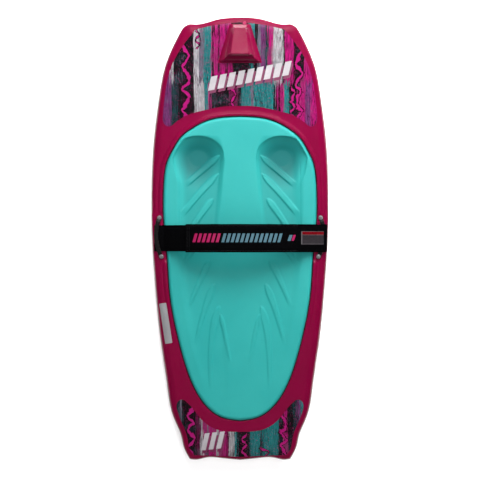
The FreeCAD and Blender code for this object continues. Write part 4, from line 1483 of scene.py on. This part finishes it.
def cross_recess(point):
    """Sink a cross into the middle of a screw's head."""
    x, y = abs(point[0]), abs(point[1])
    arm = max(min(0.55 - x, 2.6 - y), min(0.55 - y, 2.6 - x))
    sunk = np.clip(arm / 0.35 + 0.5, 0.0, 1.0) * 1.6
    return point - np.array([0.0, 0.0, sunk if point[2] > 1.5 else 0.0])


def build_screw():
    """A pan-head machine screw with a cross recess and a threaded shank."""
    shank = [(0.0, -15.0), (2.2, -15.0)]
    for turn in range(28):
        z = -14.6 + turn * 0.5
        shank += [(2.6, z), (3.0, z + 0.25)]
    head = [(2.7, -0.3), (3.0, 0.0), (4.9, 0.0), (5.2, 0.25), (5.2, 1.3), (5.1, 1.9), (4.8, 2.5), (4.3, 3.0),
            (3.7, 3.35), (3.1, 3.52)]
    middle = [(radius, 3.6 - 0.008 * radius ** 2) for radius in np.arange(2.8, 0.0, -0.2)]
    return lathe("screw", shank + head + middle + [(0.0, 3.6)], shape=cross_recess)


def build_washer():
    """A plain washer with rounded edges."""
    profile = rounded_box(3.35, 5.9, 0.3, WASHER - 0.3, 0.3, 45)
    return lathe("washer", profile + profile[:1])


def build_insert():
    """A brass insert with straight knurling round its outside."""
    def knurl(point):
        radius = math.hypot(point[0], point[1])
        if radius < 4.5:
            return point
        ridge = 1 + 0.02 * math.cos(24 * math.atan2(point[1], point[0]))
        return point * (ridge * 0.98, ridge * 0.98, 1.0)

    half = [(3.05, 0.3), (3.3, 0.0), (4.6, 0.0), (4.95, 0.4), (4.95, 5.6), (4.3, 6.0)]
    profile = half + [(radius, INSERT_LENGTH - z) for radius, z in reversed(half)]
    return lathe("insert", profile + profile[:1], 96, knurl)


def placed(obj, spots, level):
    """Copies of a piece at each spot, as one mesh."""
    vertices = np.array([v.co for v in obj.data.vertices]) / MM
    faces = [tuple(p.vertices) for p in obj.data.polygons]
    points, polygons = [], []
    for x, y in spots:
        base = len(points) * len(vertices)
        points.append(vertices + (x, y, level))
        polygons += [tuple(base + i for i in face) for face in faces]
    name = obj.name
    bpy.data.objects.remove(obj)
    made = new_object(name, np.concatenate(points), polygons)
    sharpen(made, 40.0)
    return made


def build_fixings():
    """Both brackets, each with its two screws, washers and inserts."""
    for name, side in (("left", -1), ("right", 1)):
        strip = build_bracket(side)
        strip.name = f"bracket_{name}"
        finish_piece(strip, "bracket", "board", "bracket", f"strap_bracket_{name}")
        for build, material, slot, level, node in (
            (build_screw, "steel", "screw", PLATE + WASHER, "bracket_screws_"),
            (build_washer, "steel", "screw", PLATE, "bracket_washers_"),
            (build_insert, "brass", "insert", -INSERT_LENGTH, "threaded_inserts_"),
        ):
            pair = placed(build(), screw_spots(side), DECK_LEVEL + level)
            pair.name = f"{node}{name}_made"
            finish_piece(pair, material, "board", slot, node + name)


PLUG_PLACE = (13.0, 19.0)


def build_plug():
    """The drain plug: a low domed head with a coin slot, square to the rising nose."""
    x0, back = PLUG_PLACE
    y = HALF_LENGTH - back
    slope = math.atan2(deck_at(y + 1) - deck_at(y), 1.0)

    def seat(point):
        x, v, z = point
        slot = np.clip((0.8 - abs(x)) / 0.3 + 0.5, 0.0, 1.0) * (abs(v) < 4.0)
        z = z - 0.8 * slot if z > 1.2 else z
        return np.array([x0 + x, y + v * math.cos(slope) - z * math.sin(slope),
                         float(deck_at(y)) + v * math.sin(slope) + z * math.cos(slope)])

    stem = [(0.0, -9.0), (2.9, -9.0), (3.4, -8.4), (3.4, -0.2)]
    head = [(5.2, 0.0), (5.5, 0.3), (5.5, 0.7), (5.2, 1.15), (4.7, 1.45), (4.2, 1.58)]
    middle = [(radius, 1.6) for radius in np.arange(4.0, 0.0, -0.4)]
    plug = lathe("plug", stem + head + middle + [(0.0, 1.6)], shape=seat)
    sharpen(plug, 40.0)
    finish_piece(plug, "plug", "board", "plug", "drain_plug")


# ---------------------------------------------------------------- camera, light, floor

ROOM_LIGHT = 0.06
ROOM_SEEN = 0.85
SKY_STRENGTH = 2.2
SKY_SPREAD = 50.0
FLOOR_REACH = 40000
LAMPS = [
    # name, place, aim, size for the matte light, size for the gloss, power for the matte light, for the gloss
    ("key", (0.40, 1.40, 1.00), (0.0, 0.0, 0.0), (2.2, 0.9), (1.7, 0.26), 112.0, 18.0),
    ("fill", (0.0, -2.20, 2.30), (0.0, 0.0, 0.0), (3.2, 1.8), (3.2, 0.8), 36.0, 14.0),
    ("strip", (0.25, 1.30, 1.90), (0.0, 0.4, 0.0), (1.5, 0.14), (1.5, 0.14), 1.0, 26.0),
    ("hook_card", (0.05, 0.95, 1.50), (0.0, 0.56, 0.1), (0.6, 0.35), (0.6, 0.35), 4.5, 24.0),
]


def build_world():
    """A dim white room, whose walls look pale behind the floor."""
    world = bpy.data.worlds.new("studio")
    world.use_nodes = True
    nodes = world.node_tree.nodes
    links = world.node_tree.links
    background = nodes["Background"]
    background.inputs["Color"].default_value = (1, 1, 1, 1)
    path = nodes.new("ShaderNodeLightPath")
    level = nodes.new("ShaderNodeMapRange")
    level.inputs["To Min"].default_value = ROOM_LIGHT
    level.inputs["To Max"].default_value = ROOM_SEEN
    links.new(path.outputs["Is Camera Ray"], level.inputs["Value"])
    links.new(level.outputs["Result"], background.inputs["Strength"])
    bpy.context.scene.world = world


def build_lamp(name, place, aim, size, energy):
    """A rectangular lamp turned towards a point."""
    light = bpy.data.lights.new(name, "AREA")
    light.shape = "RECTANGLE"
    light.size, light.size_y = size
    light.energy = energy
    lamp = add_object(name, light)
    lamp.location = place
    lamp.rotation_euler = (Vector(aim) - Vector(place)).to_track_quat("-Z", "Y").to_euler()
    return lamp


def build_stage():
    """A wide white floor, and lamps that each light surfaces and show in gloss separately."""
    edge = FLOOR_REACH
    floor = new_object("floor", [(-edge, -edge, 0), (edge, -edge, 0), (edge, edge, 0), (-edge, edge, 0)],
                       [(0, 1, 2, 3)])
    n = Nodes("floor_white", roughness=0.9)
    n.colour(n.mix(n.remap(n.noise(3.0), 0.3, 0.7), (0.93, 0.93, 0.93, 1), (0.95, 0.95, 0.95, 1)))
    floor.data.materials.append(n.material)
    build_world()
    for name, place, aim, size, strip, energy, sheen in LAMPS:
        build_lamp(name, place, aim, size, energy).visible_glossy = False
        build_lamp(f"{name}_sheen", place, aim, strip, sheen).visible_diffuse = False
    sun = bpy.data.lights.new("sky", "SUN")
    sun.energy = SKY_STRENGTH
    sun.angle = math.radians(SKY_SPREAD)
    add_object("sky", sun).visible_glossy = False
    bpy.context.scene.view_settings.view_transform = "Standard"


VIEW_SPAN = 1.3825


def build_camera():
    """Straight down, nose up, with VIEW_SPAN metres of the deck across the picture."""
    camera = bpy.data.cameras.new("camera")
    camera.lens = 85.0
    camera.sensor_width = 36.0
    distance = VIEW_SPAN * camera.lens / camera.sensor_width
    eye = add_object("camera", camera)
    eye.location = (0.0, 0.0, distance + DECK_LEVEL * MM)
    bpy.context.scene.camera = eye


build_camera()
build_stage()
shell = build_shell()
surface = drape(shell)
finish_piece(shell, "shell", "board", "shell", "shell")
finish_piece(build_hook(), "shell", "board", "shell")
finish_piece(build_fins(), "shell", "board", "shell")
finish_piece(build_foam(), "foam", "board", "foam", "foam_core")
pad_piece = build_pad()
finish_piece(pad_piece, "pad", "board", "pad", "knee_pad")
build_films(surface)
build_stripes(surface)
build_label(surface)
finish_piece(build_webbing(), "webbing", "board", "webbing", "strap_webbing")
build_pile()
build_flap()
build_prints()
build_patch()
build_fixings()
build_plug()
